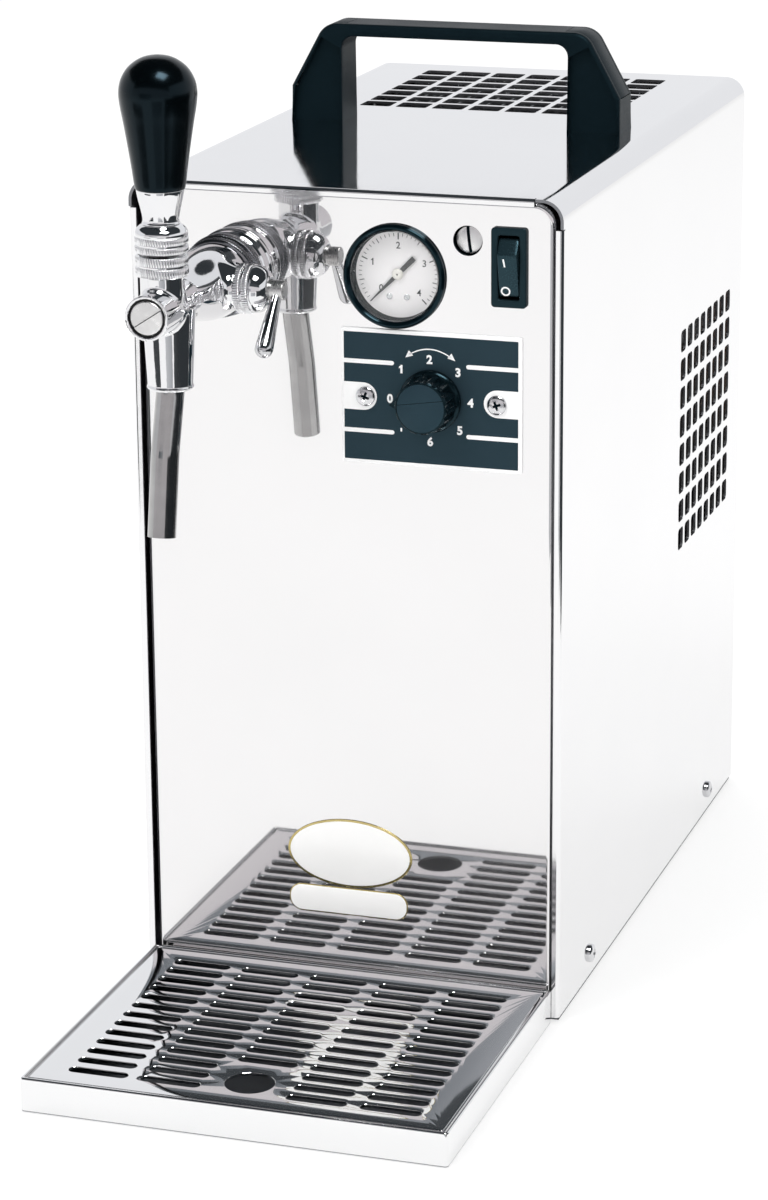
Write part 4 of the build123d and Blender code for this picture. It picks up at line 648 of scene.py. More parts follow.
def cover_pattern():
    """Flat pattern with relief slits at the corners and both fields of vents."""
    slit, relief = 0.5, 0.6
    outline = []
    for first, (low, high) in enumerate(STRIPS):
        if first:
            outline += [(low - slit, relief), (low, relief)]
        outline += [(low, FOLD_END), (high, FOLD_END)]
        if first < 2:
            outline += [(high, relief), (high + slit, relief), (high + slit, -FOLD),
                        (STRIPS[first + 1][0] - slit, -FOLD)]
    outline += [(WHOLE, DEPTH), (0.0, DEPTH)]
    side_middle, side_back, side_pitch = 191.6, 237.0, (12.57, 11.9)
    top_back, top_pitch = 238.0, (16.2, 14.75)
    holes = []
    for row in range(8):
        for column in range(8):
            z, y = side_middle + (row - 3.5) * side_pitch[0], side_back + (column - 3.5) * side_pitch[1]
            holes.append(rounded(WHOLE - (z - LIFT), y - FOLD, 9.4, 9.0, 2.0, 5))
    for row in range(7):
        for column in range(7):
            x, y = (column - 3) * top_pitch[0], top_back + (row - 3) * top_pitch[1]
            holes.append(rounded(RISE + ARC + x + SIDE - BEND, y - FOLD, 13.6, 12.2, 1.2, 4))
    return outline, holes


def cover():
    """Pattern cut along its bends, folded, and given a thickness with true normals."""
    outline, holes = cover_pattern()
    work = bmesh.new()
    corners = [work.verts.new((s, v, 0)) for loop in [outline] + holes for s, v in loop]
    for face in filled([outline] + holes):
        work.faces.new([corners[i] for i in face])
    bends = [ARC * k / BEND_STEPS for k in range(BEND_STEPS + 1)]
    cuts = [(RISE + s, (1, 0, 0)) for s in bends] + [(WHOLE - RISE - s, (1, 0, 0)) for s in bends]
    cuts += [(-FOLD * pi / 2 * k / FOLD_STEPS, (0, 1, 0)) for k in range(FOLD_STEPS + 1)]
    for where, normal in cuts:
        geometry = work.verts[:] + work.edges[:] + work.faces[:]
        bmesh.ops.bisect_plane(work, geom=geometry, dist=1e-5, plane_co=Vector(normal) * where, plane_no=normal)
    bmesh.ops.recalc_face_normals(work, faces=work.faces)
    work.verts.index_update()
    count = len(work.verts)
    outer = [hood(v.co.x, v.co.y, 0.0) for v in work.verts]
    inner = [hood(v.co.x, v.co.y, SHEET) for v in work.verts]
    points = [p for p, _ in outer + inner]
    skin, skin_normals, rest, rest_normals = [], [], [], []
    for face in work.faces:
        ids = [v.index for v in face.verts]
        a, b, c = (Vector(points[i]) for i in ids[:3])
        if (b - a).cross(c - a).dot(Vector(outer[ids[0]][1])) < 0:
            ids.reverse()
        skin.append(tuple(ids))
        skin_normals += [outer[i][1] for i in ids]
        rest.append(tuple(count + i for i in reversed(ids)))
        rest_normals += [tuple(-c for c in inner[i][1]) for i in reversed(ids)]
    for edge in work.edges:
        if len(edge.link_faces) != 1:
            continue
        a, b = (v.index for v in edge.verts)
        ids = (a, b, count + b, count + a)
        p, q, r = (Vector(points[i]) for i in ids[:3])
        normal = (q - p).cross(r - p).normalized()
        middle = edge.link_faces[0].calc_center_median()
        if normal.dot(Vector(hood(middle.x, middle.y, 0.0)[0]) - p) > 0:
            ids, normal = ids[::-1], -normal
        rest.append(ids)
        rest_normals += [tuple(normal)] * 4
    work.free()
    # The cover's inside and cut edges take the darkened steel: painted shade along the cover's lower edge and inside
    # it.
    sides = (("cover_skin", skin, skin_normals, cover_steel, "mirror_stainless", ("cover_shell",)),
             ("cover_inside", rest, rest_normals, painted_shade_steel, "satin_stainless", ()))
    for name, faces, normals, finish, slot, stands_for in sides:
        mesh = meshed(name, [tuple(c * MM for c in p) for p in points], faces)
        mesh.shade_smooth()
        mesh.normals_split_custom_set(normals)
        mesh.materials.append(finish)
        settled(placed(name, mesh), "cabinet", stands_for)


def front_sheet():
    """Control panel: one sheet with rounded bends to its folded sides and a hole behind each fitting."""
    half, low, high, foot, side, bend = 84.0, 4.2, 330.3, 3.4, 9.0, 2.2
    middle, outline = (low + high) / 2, []
    for turn, (sx, sz, radius) in enumerate(((1, 1, BEND), (-1, 1, BEND), (-1, -1, foot), (1, -1, foot))):
        z = (high if sz > 0 else low) - sz * radius - middle
        outline += arc(sx * (half - radius), z, radius, pi / 2 * turn, pi / 2 * (turn + 1), 8)
    drilled = (((TAP[0], TAP[2]), 11.2, 64), (GAUGE, 18.6, 96), (SCREW, 5.85, 64), (PLATE, 4.0, 32))
    holes = [shifted(circle(*place, radius, count), 0, -middle) for place, radius, count in drilled]
    holes.append(rounded(SWITCH[0], SWITCH[1] - middle, 11.8, 27.6, 1.0, 4))
    skin = [(-side, 0.0), (-bend, 0.0)]
    turns = [pi / 2 * k / FOLD_STEPS for k in range(1, FOLD_STEPS + 1)]
    skin += [(-bend * (1 - sin(turn)), bend * (1 - cos(turn))) for turn in turns]
    skin += [(0.0, bend + 0.4)]
    levels = skin[::-1] + [(max(level - SHEET, -side) if cut > 0 else level, cut * (bend - SHEET) / bend + SHEET)
                           for level, cut in skin[:-1]] + [(-SHEET, bend + 0.4)]
    loops = [[(x, z, level) for x, z in (inset(outline, cut) if cut else outline)] for level, cut in levels]
    points, faces = tower(loops, close_start=False, close_end=False)
    rim, count = len(outline), len(points)
    inner = count - rim
    for level in (0.0, -SHEET):
        points += [(x, z, level) for hole in holes for x, z in hole]
    cut_points = sum(len(hole) for hole in holes)
    order, walls, start = list(range(rim)), [], count
    for hole in holes:
        ring = range(start, start + len(hole))
        order += reversed(ring)
        walls += band(ring, [cut_points + i for i in ring])
        start += len(hole)
    lid = filled([loops[0]] + [hole[::-1] for hole in holes])
    faces += [tuple(order[i] for i in face) for face in lid]
    faces += [tuple(order[i] + (inner if order[i] < rim else cut_points) for i in reversed(face)) for face in lid]
    piece("front_sheet", moved((points, faces + walls), facing(0, middle)), polished,
          stands_for=("front_panel",), sharp=32)


def cross_screw(place, radius, height, size, turn=0.0):
    """Pan head with a cross recess."""
    rim = 0.35
    dome = [(0, -0.6), (radius * 0.5, -0.6), (radius * 0.5, 0), (radius, 0), (radius, height * rim)]
    dome += [(radius * cos(a), height * (rim + (1 - rim) * sin(a))) for a in map(radians, range(12, 90, 12))]
    bars = []
    for quarter in (0, pi / 2):
        loops = []
        for level, half, wide in ((height * 0.25, size * 0.35, 0.28), (height + 0.5, size * 1.15, 0.62)):
            loops.append([(x, y, level) for x, y in rotated(box(half, wide), turn + quarter)])
        bars.append(tower(loops))
    return moved(subtracted(lathe(dome + [(0, height)], ORIGIN, 64), *bars), place)


def cross_floor(place, size, level, turn):
    """Painted shade: a dark sheet at the bottom of a cross recess."""
    half, wide = size * 0.95, 0.42
    shape = [(half, wide), (wide, wide), (wide, half), (-wide, half), (-wide, wide), (-half, wide), (-half, -wide),
             (-wide, -wide), (-wide, -half), (wide, -half), (wide, -wide), (half, -wide)]
    return slab(rotated(shape, turn), (), level - 0.1, level, 0.0, place)


def body_screws():
    """Four screws low on the cover's sides."""
    heads = []
    for side in (-1, 1):
        for distance in (48.0, 255.8):
            place = spot((side * SIDE, behind(distance), 11.2), (side, 0, 0), (0, 1, 0))
            heads.append(cross_screw(place, 3.75, 2.1, 2.0, 0.4 + distance))
    piece("side_screws", joined(*heads), fastener, stands_for=("cover_screws",))


# ---------------------------------------------------------------- carry handle
def carry_handle():
    """Trapezoid handle in one section, with a cap over each shoulder."""
    half, high, straight, lean, cap_thick, wall_from, wall_to = 71.0, 41.0, 14.4, 12.0 / (36.2 - 14.4), 2.0, 7.0, 10.0
    gap, soffit, window_radius, cap_reach = half - 22.3, high - 5.2, 5.0, half - 24.0

    def outline(cut):
        """Outer outline a distance inside the handle's surface, from one foot to the other."""
        side, crown = half - cut, half - cut - lean * (high - cut - straight)
        corners = [Vector(c) for c in ((side, 0.0), (side, straight), (crown, high - cut), (-crown, high - cut),
                                       (-side, straight), (-side, 0.0))]
        result = [tuple(corners[0])]
        for i, trio in enumerate(zip(corners, corners[1:], corners[2:])):
            radius, steps = (9.3 - cut, 12) if i in (1, 2) else (1.2, 4)
            middle, start, end = corner_arc(*trio, radius)
            sweep = start.angle_signed(end)
            for k in range(steps + 1):
                result.append(tuple(middle + Vector(rotated([start], -sweep * k / steps)[0])))
        return result + [tuple(corners[-1])]

    window = [(-gap, 0.0)] + arc(-gap + window_radius, soffit - window_radius, window_radius, pi, pi / 2, 8)
    window += arc(gap - window_radius, soffit - window_radius, window_radius, pi / 2, 0, 8) + [(gap, 0.0)]
    # Each point's share says how far its edge is rounded.
    arch = [(x, y, share if y > 0.5 else 0.0)
            for share, loop in ((1.0, outline(0.0)), (0.35, window)) for x, y in loop]
    mirrored = [(-x, y, share) for x, y, share in reversed(arch)]
    middle = behind(155.0)
    front_place = spot((0, middle, TOP), (0, -1, 0))
    rear_place = spot((0, middle, TOP), (0, 1, 0), (-1, 0, 0))

    # The middle of the section is lower by a cap's thickness over both shoulders.
    kept = [(x, y) for x, y in outline(cap_thick) if abs(x) >= cap_reach - 0.01 and y > straight]
    foot = [(half, 0.0), (half, straight - 0.2), (half - cap_thick, straight - 0.2)]
    core = foot + [p for p in kept if p[0] > 0]
    core += [(cap_reach, high - cap_thick), (cap_reach, high), (-cap_reach, high), (-cap_reach, high - cap_thick)]
    core += [p for p in kept if p[0] < 0] + [(-x, y) for x, y in reversed(foot)]
    shapes = [slab(loop, (), wall_from, wall_to, 1.6, place, 5)
              for loop, place in ((arch, front_place), (mirrored, rear_place))]
    shapes.append(slab(core + window, (), -wall_from, wall_from, 0.0, front_place))
    piece("grip", joined(*shapes), grip_black, stands_for=("carry_handle",), sharp=28)

    outer, inner = ([p for p in outline(cut) if p[0] > cap_reach + 0.25 and p[1] > straight + 0.1]
                    for cut in (0.0, cap_thick))
    loop = [(half, straight + 0.15)] + outer + [(cap_reach + 0.3, high), (cap_reach + 0.3, high - 1.95)]
    loop += inner[::-1] + [(half - 1.95, straight + 0.15)]
    caps = [slab(side, (), -6.8, 6.8, 0.18, front_place, 2, both=True)
            for side in ([(-x, y) for x, y in reversed(loop)], loop)]
    piece("grip_caps", joined(*caps), grip_black, stands_for=("handle_caps",), sharp=28)


# ---------------------------------------------------------------- label, screws and knob
def label_plate():
    """Thermostat's plate: white sheet, dark field, scale and two screws."""
    x, z = PLATE
    on_plate = facing(x, z)
    bore, low, high = circle(0, 0, 4.0), 0.94, 1.0
    ink = (high - 0.03, high + 0.03)
    plate = slab(rounded(0, 0, 72.6, 53.5, 0.8), [bore], 0.0, low, 0.2, on_plate)
    piece("label_plate", plate, print_white, stands_for=("thermostat_plate",))

    def tab(left, right, level, height, round_left):
        """Bar whose inner end is round and whose outer end is square at the field's edge."""
        radius = height / 2
        inner, outer, sweep = (left + radius, right, pi) if round_left else (right - radius, left, -pi)
        loop = arc(inner, 0, radius, pi / 2, pi / 2 + sweep, 16) + [(outer, -radius), (outer, radius)]
        return shifted(loop if round_left else loop[::-1], -x, level - z)

    field = rounded(34.7 - x, 251.25 - z, 70.0, 50.5, 0.3, 2)
    edges = (-0.3, 69.7)
    bars = [tab(edges[0], 20.0, 265.0, 1.7, False), tab(edges[0], 20.0, 237.6, 1.7, False),
            tab(49.0, edges[1], 265.4, 1.7, True), tab(49.0, edges[1], 237.9, 1.7, True),
            tab(edges[0], 13.0, 251.2, 10.9, False), tab(56.0, edges[1], 251.6, 10.8, True)]
    piece("label_field", slab(field, [bore], low, high - 0.02, 0.0, on_plate), print_dark)
    marks = [slab(bar, (), *ink, 0.0, on_plate) for bar in bars]
    digits = (("0", 18.3, 251.0), ("1", 23.0, 262.9), ("2", 34.3, 267.4), ("3", 45.7, 263.0), ("4", 50.7, 251.4),
              ("5", 46.4, 240.2), ("6", 34.5, 235.0))
    for text, dx, dz in digits:
        marks.append(moved(lettering(text, 4.6, dx - x, dz - z, 0.19, *ink), on_plate))
    bow = []
    for k in range(13):
        t = k / 12
        bow.append((26.2 + 16.6 * t - x, 268.9 + 2.6 * (1 - (2 * t - 1) ** 2) - 0.2 * t - z))
    strokes = [rounded(22.8 - x, 238.9 - z, 0.7, 1.5, 0.3), shifted(bow, 0, -0.24) + shifted(bow, 0, 0.24)[::-1]]
    for tip_x, tip_z, spread in ((24.6, 267.6, 40.0), (44.6, 267.4, 140.0)):
        head = rotated([(3.0, -1.3), (3.0, 1.3), (0, 0)], radians(spread))
        strokes.append(shifted(head, tip_x - x, tip_z - z))
    marks += [slab(stroke, (), *ink, 0.0, on_plate) for stroke in strokes]
    piece("label_marks", joined(*marks), print_white, sharp=60)

    heads, recess_shades = [], []
    for side in (-1, 1):
        place = facing(x + side * 26.4, z, PANEL - 1.0)
        heads.append(cross_screw(place, 3.85, 1.9, 2.2, 0.35 * side))
        recess_shades.append(cross_floor(place, 2.2, 1.25, 0.35 * side))
    # Dark sheets in the screws' cross recesses: painted shade.
    piece("recess_painted_shades", joined(*recess_shades), matt_black_and_painted_shade)
    piece("label_screws", joined(*heads), fastener, stands_for=("plate_screws",))


def knob():
    """Skirt with a pointer and a fluted grip with a flat face."""
    place = facing(*PLATE, PANEL - 1.3) @ spun(8.5)
    skirt = eased([(0, 0), (12.2, 0), (12.2, 2.2), (11.2, 3.0), (0, 3.0)], 0.3)
    tip = [(-10.8, 4.2), (-16.3, 0.2), (-16.3, -0.2), (-10.8, -4.2)]
    flutes, cutter = 14, 1.5
    count, cutter_out = flutes * 18, 10.5 + cutter * 0.62
    rings = []
    profile = [(11.25, 2.9), (11.0, 6.0), (10.75, 10.0), (10.55, 12.6), (10.35, 13.15), (10.0, 13.5), (9.6, 13.6)]
    for radius, height in profile:
        ring = []
        for k in range(count):
            angle = 2 * pi * k / count
            off = ((angle * flutes / (2 * pi) + 0.5) % 1.0 - 0.5) * 2 * pi / flutes
            across, r = cutter_out * abs(sin(off)), radius
            if across < cutter:
                r = min(r, cutter_out * cos(off) - sqrt(cutter ** 2 - across ** 2))
            ring.append((r * cos(angle), r * sin(angle), height))
        rings.append(ring)
    shapes = [lathe(skirt, place, 128), slab(tip, (), 0.0, 2.2, 0.1, place), tower(rings, place)]
    cap = lathe([(0, 13.4), (9.35, 13.4), (9.35, 13.66), (9.25, 13.72), (0, 13.72)], ORIGIN, 128)
    line = slab([(-12, 2.0), (12, 2.0), (12, 2.32), (-12, 2.32)], (), 13.55, 14.2)
    piece("knob_cap", moved(subtracted(cap, line), place), knob_face, "temperature_knob")
    piece("knob", joined(*shapes), knob_black, "temperature_knob", ("thermostat_knob",), sharp=32)


# ---------------------------------------------------------------- gauge
def gauge():
    """Pressure gauge with its dial, needle and lens."""
    place = facing(GAUGE[0] - 0.4, GAUGE[1] - 0.5)
    face = -4.3
    ink = (face - 0.02, face + 0.05)
    bezel = [(18.4, 0), (20.0, 0), (20.4, 0.6), (20.4, 1.5), (20.0, 2.3), (19.4, 2.75), (18.7, 2.7), (18.1, 2.1),
             (17.7, 1.3), (17.7, 0.0), (18.4, 0.0)]
    piece("gauge_rim", turned_ring(bezel, place, 192, 0.3), bezel_black_and_painted_shade, stands_for=("gauge_case",),
          sharp=50)
    case = eased([(0, -6.0), (18.3, -6.0), (18.3, -23.2), (4.8, -23.2), (4.8, -37.0), (3.2, -37.0), (2.6, -44.0),
                  (0, -44.0)], 0.5)
    piece("gauge_back", lathe(case, place, 96), bezel_black_and_painted_shade)
    wall = [(17.7, 0.5), (16.95, face + 0.1), (16.5, face + 0.1), (16.5, -5.9), (18.4, -5.9), (18.4, 0.5)]
    piece("gauge_wall", turned_ring(wall, place, 128, 0.2), matt_black_and_painted_shade, sharp=50)
    dial = slab(circle(0, 0, 16.9, 128), (), face - 0.5, face, 0.0, place)
    piece("dial", dial, dial_white, stands_for=("gauge_dial",))

    marks = []
    units, parts, start, sweep, tick_end = 4, 10, 225.0, 270.0, 15.4
    for step in range(units * parts + 1):
        major, half_unit = step % parts == 0, step % (parts // 2) == 0
        inner, width = (13.0, 0.42) if major else (13.5, 0.27) if half_unit else (14.2, 0.2)
        tick = [(inner, -width / 2), (tick_end, -width / 2), (tick_end, width / 2), (inner, width / 2)]
        turn = radians(start - sweep * step / (units * parts))
        marks.append(slab(rotated(tick, turn), (), *ink, 0.0, place))
    for number, across, up in ((0, -6.7, -5.5), (1, -9.9, 4.2), (2, 0.0, 10.8), (3, 10.1, 4.4), (4, 8.0, -6.7)):
        marks.append(moved(lettering(str(number), 3.6, across, up, 0.03, *ink), place))
    piece("dial_marks", joined(*marks), dial_ink, sharp=60)

    screws = []
    for x, turn in ((-3.4, 0.5), (3.4, 2.4)):
        head = lathe(eased([(0, 0), (1.15, 0), (1.15, 0.35), (0.9, 0.5), (0, 0.5)], 0.1, 2), ORIGIN, 32)
        head = subtracted(head, slab(box(1.5, 0.16), (), 0.2, 0.8))
        at = place @ Matrix.Translation((x, -8.6, face)) @ Matrix.Rotation(turn, 4, "Z")
        screws.append(moved(head, at))
    piece("dial_screws", joined(*screws), fastener)

    across = place @ spun(start)
    pointer = [(14.2, -0.12), (1.0, -0.75), (-8.9, -0.95), (-8.9, 0.95), (1.0, 0.75), (14.2, 0.12)]
    blade = slab(pointer, (), face + 0.5, face + 0.8, 0.08, across, 2)
    stem = lathe([(0, face + 0.1), (0.55, face + 0.1), (0.55, face + 1.5), (0, face + 1.5)], place, 24)
    piece("pointer", joined(blade, stem), needle_ink, "needle", ("gauge_needle",))
    cap = eased([(0, 0.7), (2.2, 0.7), (2.2, 1.1), (1.5, 1.6), (0.35, 1.65), (0.35, 1.4), (0, 1.4)], 0.2)
    cap = lathe([(r, face + h) for r, h in cap], place, 48)
    piece("pointer_cap", cap, hub_white, "needle")
    lens = lathe(eased([(0, 0.6), (17.4, 0.6), (17.4, 1.2), (0, 1.2)], 0.1), place, 128)
    piece("lens", lens, glass, stands_for=("gauge_lens",))


# ---------------------------------------------------------------- rocker switch
def rocker_switch():
    """Bezel with a deep well and a rocker that has a bar and a ring on its face."""
    place = facing(*SWITCH)
    housing, opening = rounded(0, 0, 11.6, 27.4, 1.0, 4), rounded(0, 0, 8.4, 24.8, 0.9, 4)
    bezel = slab(rounded(0, 0, 13.9, 30.7, 1.4, 6), [opening], 0.0, 2.0, 0.55, place, 4)
    lining = slab(housing, [opening], -12.0, 0.2, 0.0, place)
    floor = slab(housing, (), -14.0, -12.0, 0.0, place)
    piece("switch_frame", joined(bezel, lining, floor), switch_black, stands_for=("switch_housing",))

    half, ridge, proud, dip, soft, bezel_face = 11.2, 5.3, 2.7, 1.0, 0.35, 2.0
    slope_low, slope_high = (proud + dip) / (half + ridge), (proud + dip) / (half - ridge)

    def face(u):
        """Height of the rocker's face, with a rounded ridge between its two slopes."""
        low, high = proud - (ridge - u) * slope_low, proud - (u - ridge) * slope_high
        return min(low, high) - max(soft - abs(low - high), 0.0) ** 2 / (4 * soft) + bezel_face

    stops = [-11.2, -10.95, -10.5, -8.0, -5.0, -2.0, 1.0, 3.0, 4.2, 4.8, 5.1, 5.3, 5.5, 5.8, 6.6, 8.2, 10.0, 10.8,
             11.1, 11.2]
    edge, loops = ((-3.9, 0.6), (-3.75, 0.22), (-3.4, 0.05), (-2.6, 0.0)), []
    for across, drop in edge + tuple((-across, drop) for across, drop in edge[::-1]):
        loops.append([(across, u, face(u) - drop - max(abs(u) - 10.6, 0.0) ** 2 * 1.6) for u in stops]
                     + [(across, u, z) for u, z in ((half - 0.4, -1.0), (3.4, -5.6), (-3.4, -5.6), (0.4 - half, -1.0))])
    piece("rocker_key", tower(loops, place), rocker_black, "rocker", ("switch_rocker",), sharp=40)

    def on_face(u):
        """Placement on the rocker's face."""
        lean = atan2(face(u + 0.1) - face(u - 0.1), 0.2)
        return place @ Matrix.Translation((-1.2, u, face(u))) @ Matrix.Rotation(lean, 4, "X")

    bar = slab(rounded(0, 0, 0.62, 3.3, 0.12), (), 0.0, 0.06)
    ring = slab(circle(0, 0, 1.88, 40), [circle(0, 0, 1.28, 40)], 0.0, 0.06)
    marks = [moved(bar, on_face(2.3) @ spun(7.0)), moved(ring, on_face(-9.0))]
    piece("rocker_marks", joined(*marks), print_white, "rocker", sharp=60)


# ---------------------------------------------------------------- pressure screw and badges
def pressure_screw():
    """Slotted screw head at the bottom of a sleeve."""
    place = facing(*SCREW)
    # The sleeve's well is drawn in gloss black: painted shade around the screw head.
    well = [(5.85, -1.25), (7.4, -1.25), (7.4, -16.0), (0, -16.0), (0, -14.0), (5.85, -14.0)]
    piece("screw_sleeve", lathe(well, place, 96, True), bezel_black_and_painted_shade,
          stands_for=("regulator_sleeve",), sharp=50)
    dome = [(0, -4.2), (5.35, -4.2), (5.35, -2.5), (5.1, -2.15), (4.2, -1.9), (2.4, -1.65), (0, -1.55)]
    body = subtracted(lathe(dome, ORIGIN, 96), slab(box(0.62, 8), (), -2.95, 0.0))
    turned = place @ spun(7.0)
    # Dark strip in the screw's slot: painted shade.
    slot_shade = slab(box(0.58, 5.2), (), -3.0, -2.55, 0.0, turned)
    piece("slot_painted_shade", slot_shade, matt_black_and_painted_shade, "adjusting_screw")
    piece("screw_head", moved(body, turned), plug_steel, "adjusting_screw", ("pressure_screw",))


def badges():
    """Blank oval and strip, each a resin dome inside a gilt rim."""
    oval, strip = facing(-0.2, 61.6), facing(-1.0, 40.9)
    rims = [slab(ellipse(0, 0, 26.2, 14.5), (), 0.0, 0.32, 0.12, oval),
            slab(rounded(0, 0, 50.0, 11.6, 5.2, 12), (), 0.0, 0.3, 0.1, strip)]
    domes = [slab(ellipse(0, 0, 25.2, 13.5), (), 0.2, 0.5, 0.2, oval),
             slab(rounded(0, 0, 49.1, 10.7, 4.8, 12), (), 0.2, 0.5, 0.2, strip)]
    piece("badge_faces", joined(*domes), badge_white, stands_for=("blank_badges",))
    piece("badge_rims", joined(*rims), gilt)


# ---------------------------------------------------------------- tap body
def tap_distance(p):
    """Signed distance of the cast tap body, in the tap's own axes: x right, y forward of the cover, z up."""
    x, y, z = p[..., 0], p[..., 1], p[..., 2]

    def blend(a, b, k):
        h = np.clip(0.5 + 0.5 * (b - a) / k, 0, 1)
        return b * (1 - h) + a * h - k * h * (1 - h)

    def barrel(radius, low, high, along):
        return np.maximum(radius, np.maximum(low - along, along - high))

    barrel_r, neck_r = np.hypot(x, z), np.hypot(x, y - NECK_OUT)
    cone_r, arm_r = np.hypot(x, y - OUTLET_OUT), np.hypot(z, y - ARM_OUT)
    root, slim, beyond = 18.4, 57.0, 34.0
    t = np.clip((slim - y) / (slim - root), 0, 1)
    flare = 5.5 * (t * t * (3 - 2 * t)) + 1.1 * np.sin(pi * t)
    taper = 1.7 * np.clip(-z / 33.0, 0, 1)
    lip = 0.45 * np.clip(1 - np.abs(-z - 30.3) / 0.9, 0, 1)
    mouth = 0.2 * np.clip((-z - 29.1) / 2, 0, 1)
    body = barrel(barrel_r - 8.5 - flare, root, BARREL_OUT, y)
    for part, soft in ((barrel(neck_r - 8.2, 0.0, 15.6, z), 1.3),
                       (barrel(cone_r - (10.0 - taper + lip), 0.0, 31.1, -z), 1.3),
                       (barrel(arm_r - 8.6, 0.0, 14.2, x), 3.0)):
        body = blend(body, part, soft)
    for bore in (barrel(barrel_r - 7.3, 88.4, 92.0, y), barrel(barrel_r - 6.0, 60.0, 92.0, y),
                 barrel(neck_r - 7.4, 7.0, 17.0, z), barrel(cone_r - 7.3 - mouth, 25.0, beyond, -z),
                 barrel(cone_r - 5.4, 5.0, beyond, -z)):
        body = np.maximum(body, -bore)
    return body


def tap_body():
    """Skin of the distance field: one point per crossed cell, drawn onto the true surface."""
    step = 0.42
    low, high = np.array([-15.2, 17.6, -33.8]), np.array([15.2, 91.8, 16.6])
    size = np.ceil((high - low) / step).astype(int) + 1
    axes = [low[i] + step * np.arange(size[i]) for i in range(3)]
    field = tap_distance(np.stack(np.meshgrid(*axes, indexing="ij"), axis=-1))
    inside = field < 0
    corners = [(a, b, c) for a in (0, 1) for b in (0, 1) for c in (0, 1)]
    total = sum(inside[tuple(slice(o, size[i] - 1 + o) for i, o in enumerate(offset))].astype(int)
                for offset in corners)
    active = (total > 0) & (total < 8)
    index = -np.ones(active.shape, int)
    cells = np.argwhere(active)
    index[active] = np.arange(len(cells))
    where, hits = np.zeros((len(cells), 3)), np.zeros(len(cells))
    at = [field[tuple((cells + o).T)] for o in corners]
    for i, first in enumerate(corners):
        for j, second in enumerate(corners):
            if j <= i or sum(abs(a - b) for a, b in zip(first, second)) != 1:
                continue
            crossed = (at[i] < 0) != (at[j] < 0)
            share = at[i][crossed] / (at[i][crossed] - at[j][crossed])
            a, b = np.array(first, float), np.array(second, float)
            where[crossed] += a + share[:, None] * (b - a)
            hits[crossed] += 1
    points = low + step * (cells + where / hits[:, None])
    reach = 0.02
    for _ in range(4):
        slope = np.stack([tap_distance(points + d) - tap_distance(points - d)
                          for d in reach * np.eye(3)], axis=-1) / (2 * reach)
        length = np.maximum((slope ** 2).sum(-1), 0.25)
        points = points - np.clip(tap_distance(points) / length, -0.3, 0.3)[:, None] * slope
    faces = []
    for axis in range(3):
        u, v = (axis + 1) % 3, (axis + 2) % 3
        near, far = [slice(None)] * 3, [slice(None)] * 3
        near[axis], far[axis] = slice(0, -1), slice(1, None)
        for cell in np.argwhere(inside[tuple(near)] != inside[tuple(far)]):
            if min(cell[u], cell[v]) == 0 or cell[u] >= size[u] - 1 or cell[v] >= size[v] - 1:
                continue
            ids = []
            for du, dv in ((-1, -1), (0, -1), (0, 0), (-1, 0)):
                c = cell.copy()
                c[u] += du
                c[v] += dv
                ids.append(int(index[tuple(c)]))
            if min(ids) >= 0:
                faces.append(tuple(ids) if inside[tuple(cell)] else tuple(ids[::-1]))
    shape = [(TAP[0] + x, FRONT - y, TAP[2] + z) for x, y, z in points], faces
    piece("tap_casting", shape, chrome, stands_for=("tap_body",), sharp=42)


# ---------------------------------------------------------------- tap fittings
def knurled(low, high, radius, edge=0.35):
    """Outline points of one knurled band."""
    return [(radius - edge, low), (radius, low + edge, 1.0), (radius, high - edge, 1.0), (radius - edge, high)]


def ball(middle, radius, start, end, step):
    """Outline points of a ball, by angles in degrees from its lower end."""
    return [(radius * sin(radians(a)), middle - radius * cos(radians(a))) for a in range(start, end, step)]


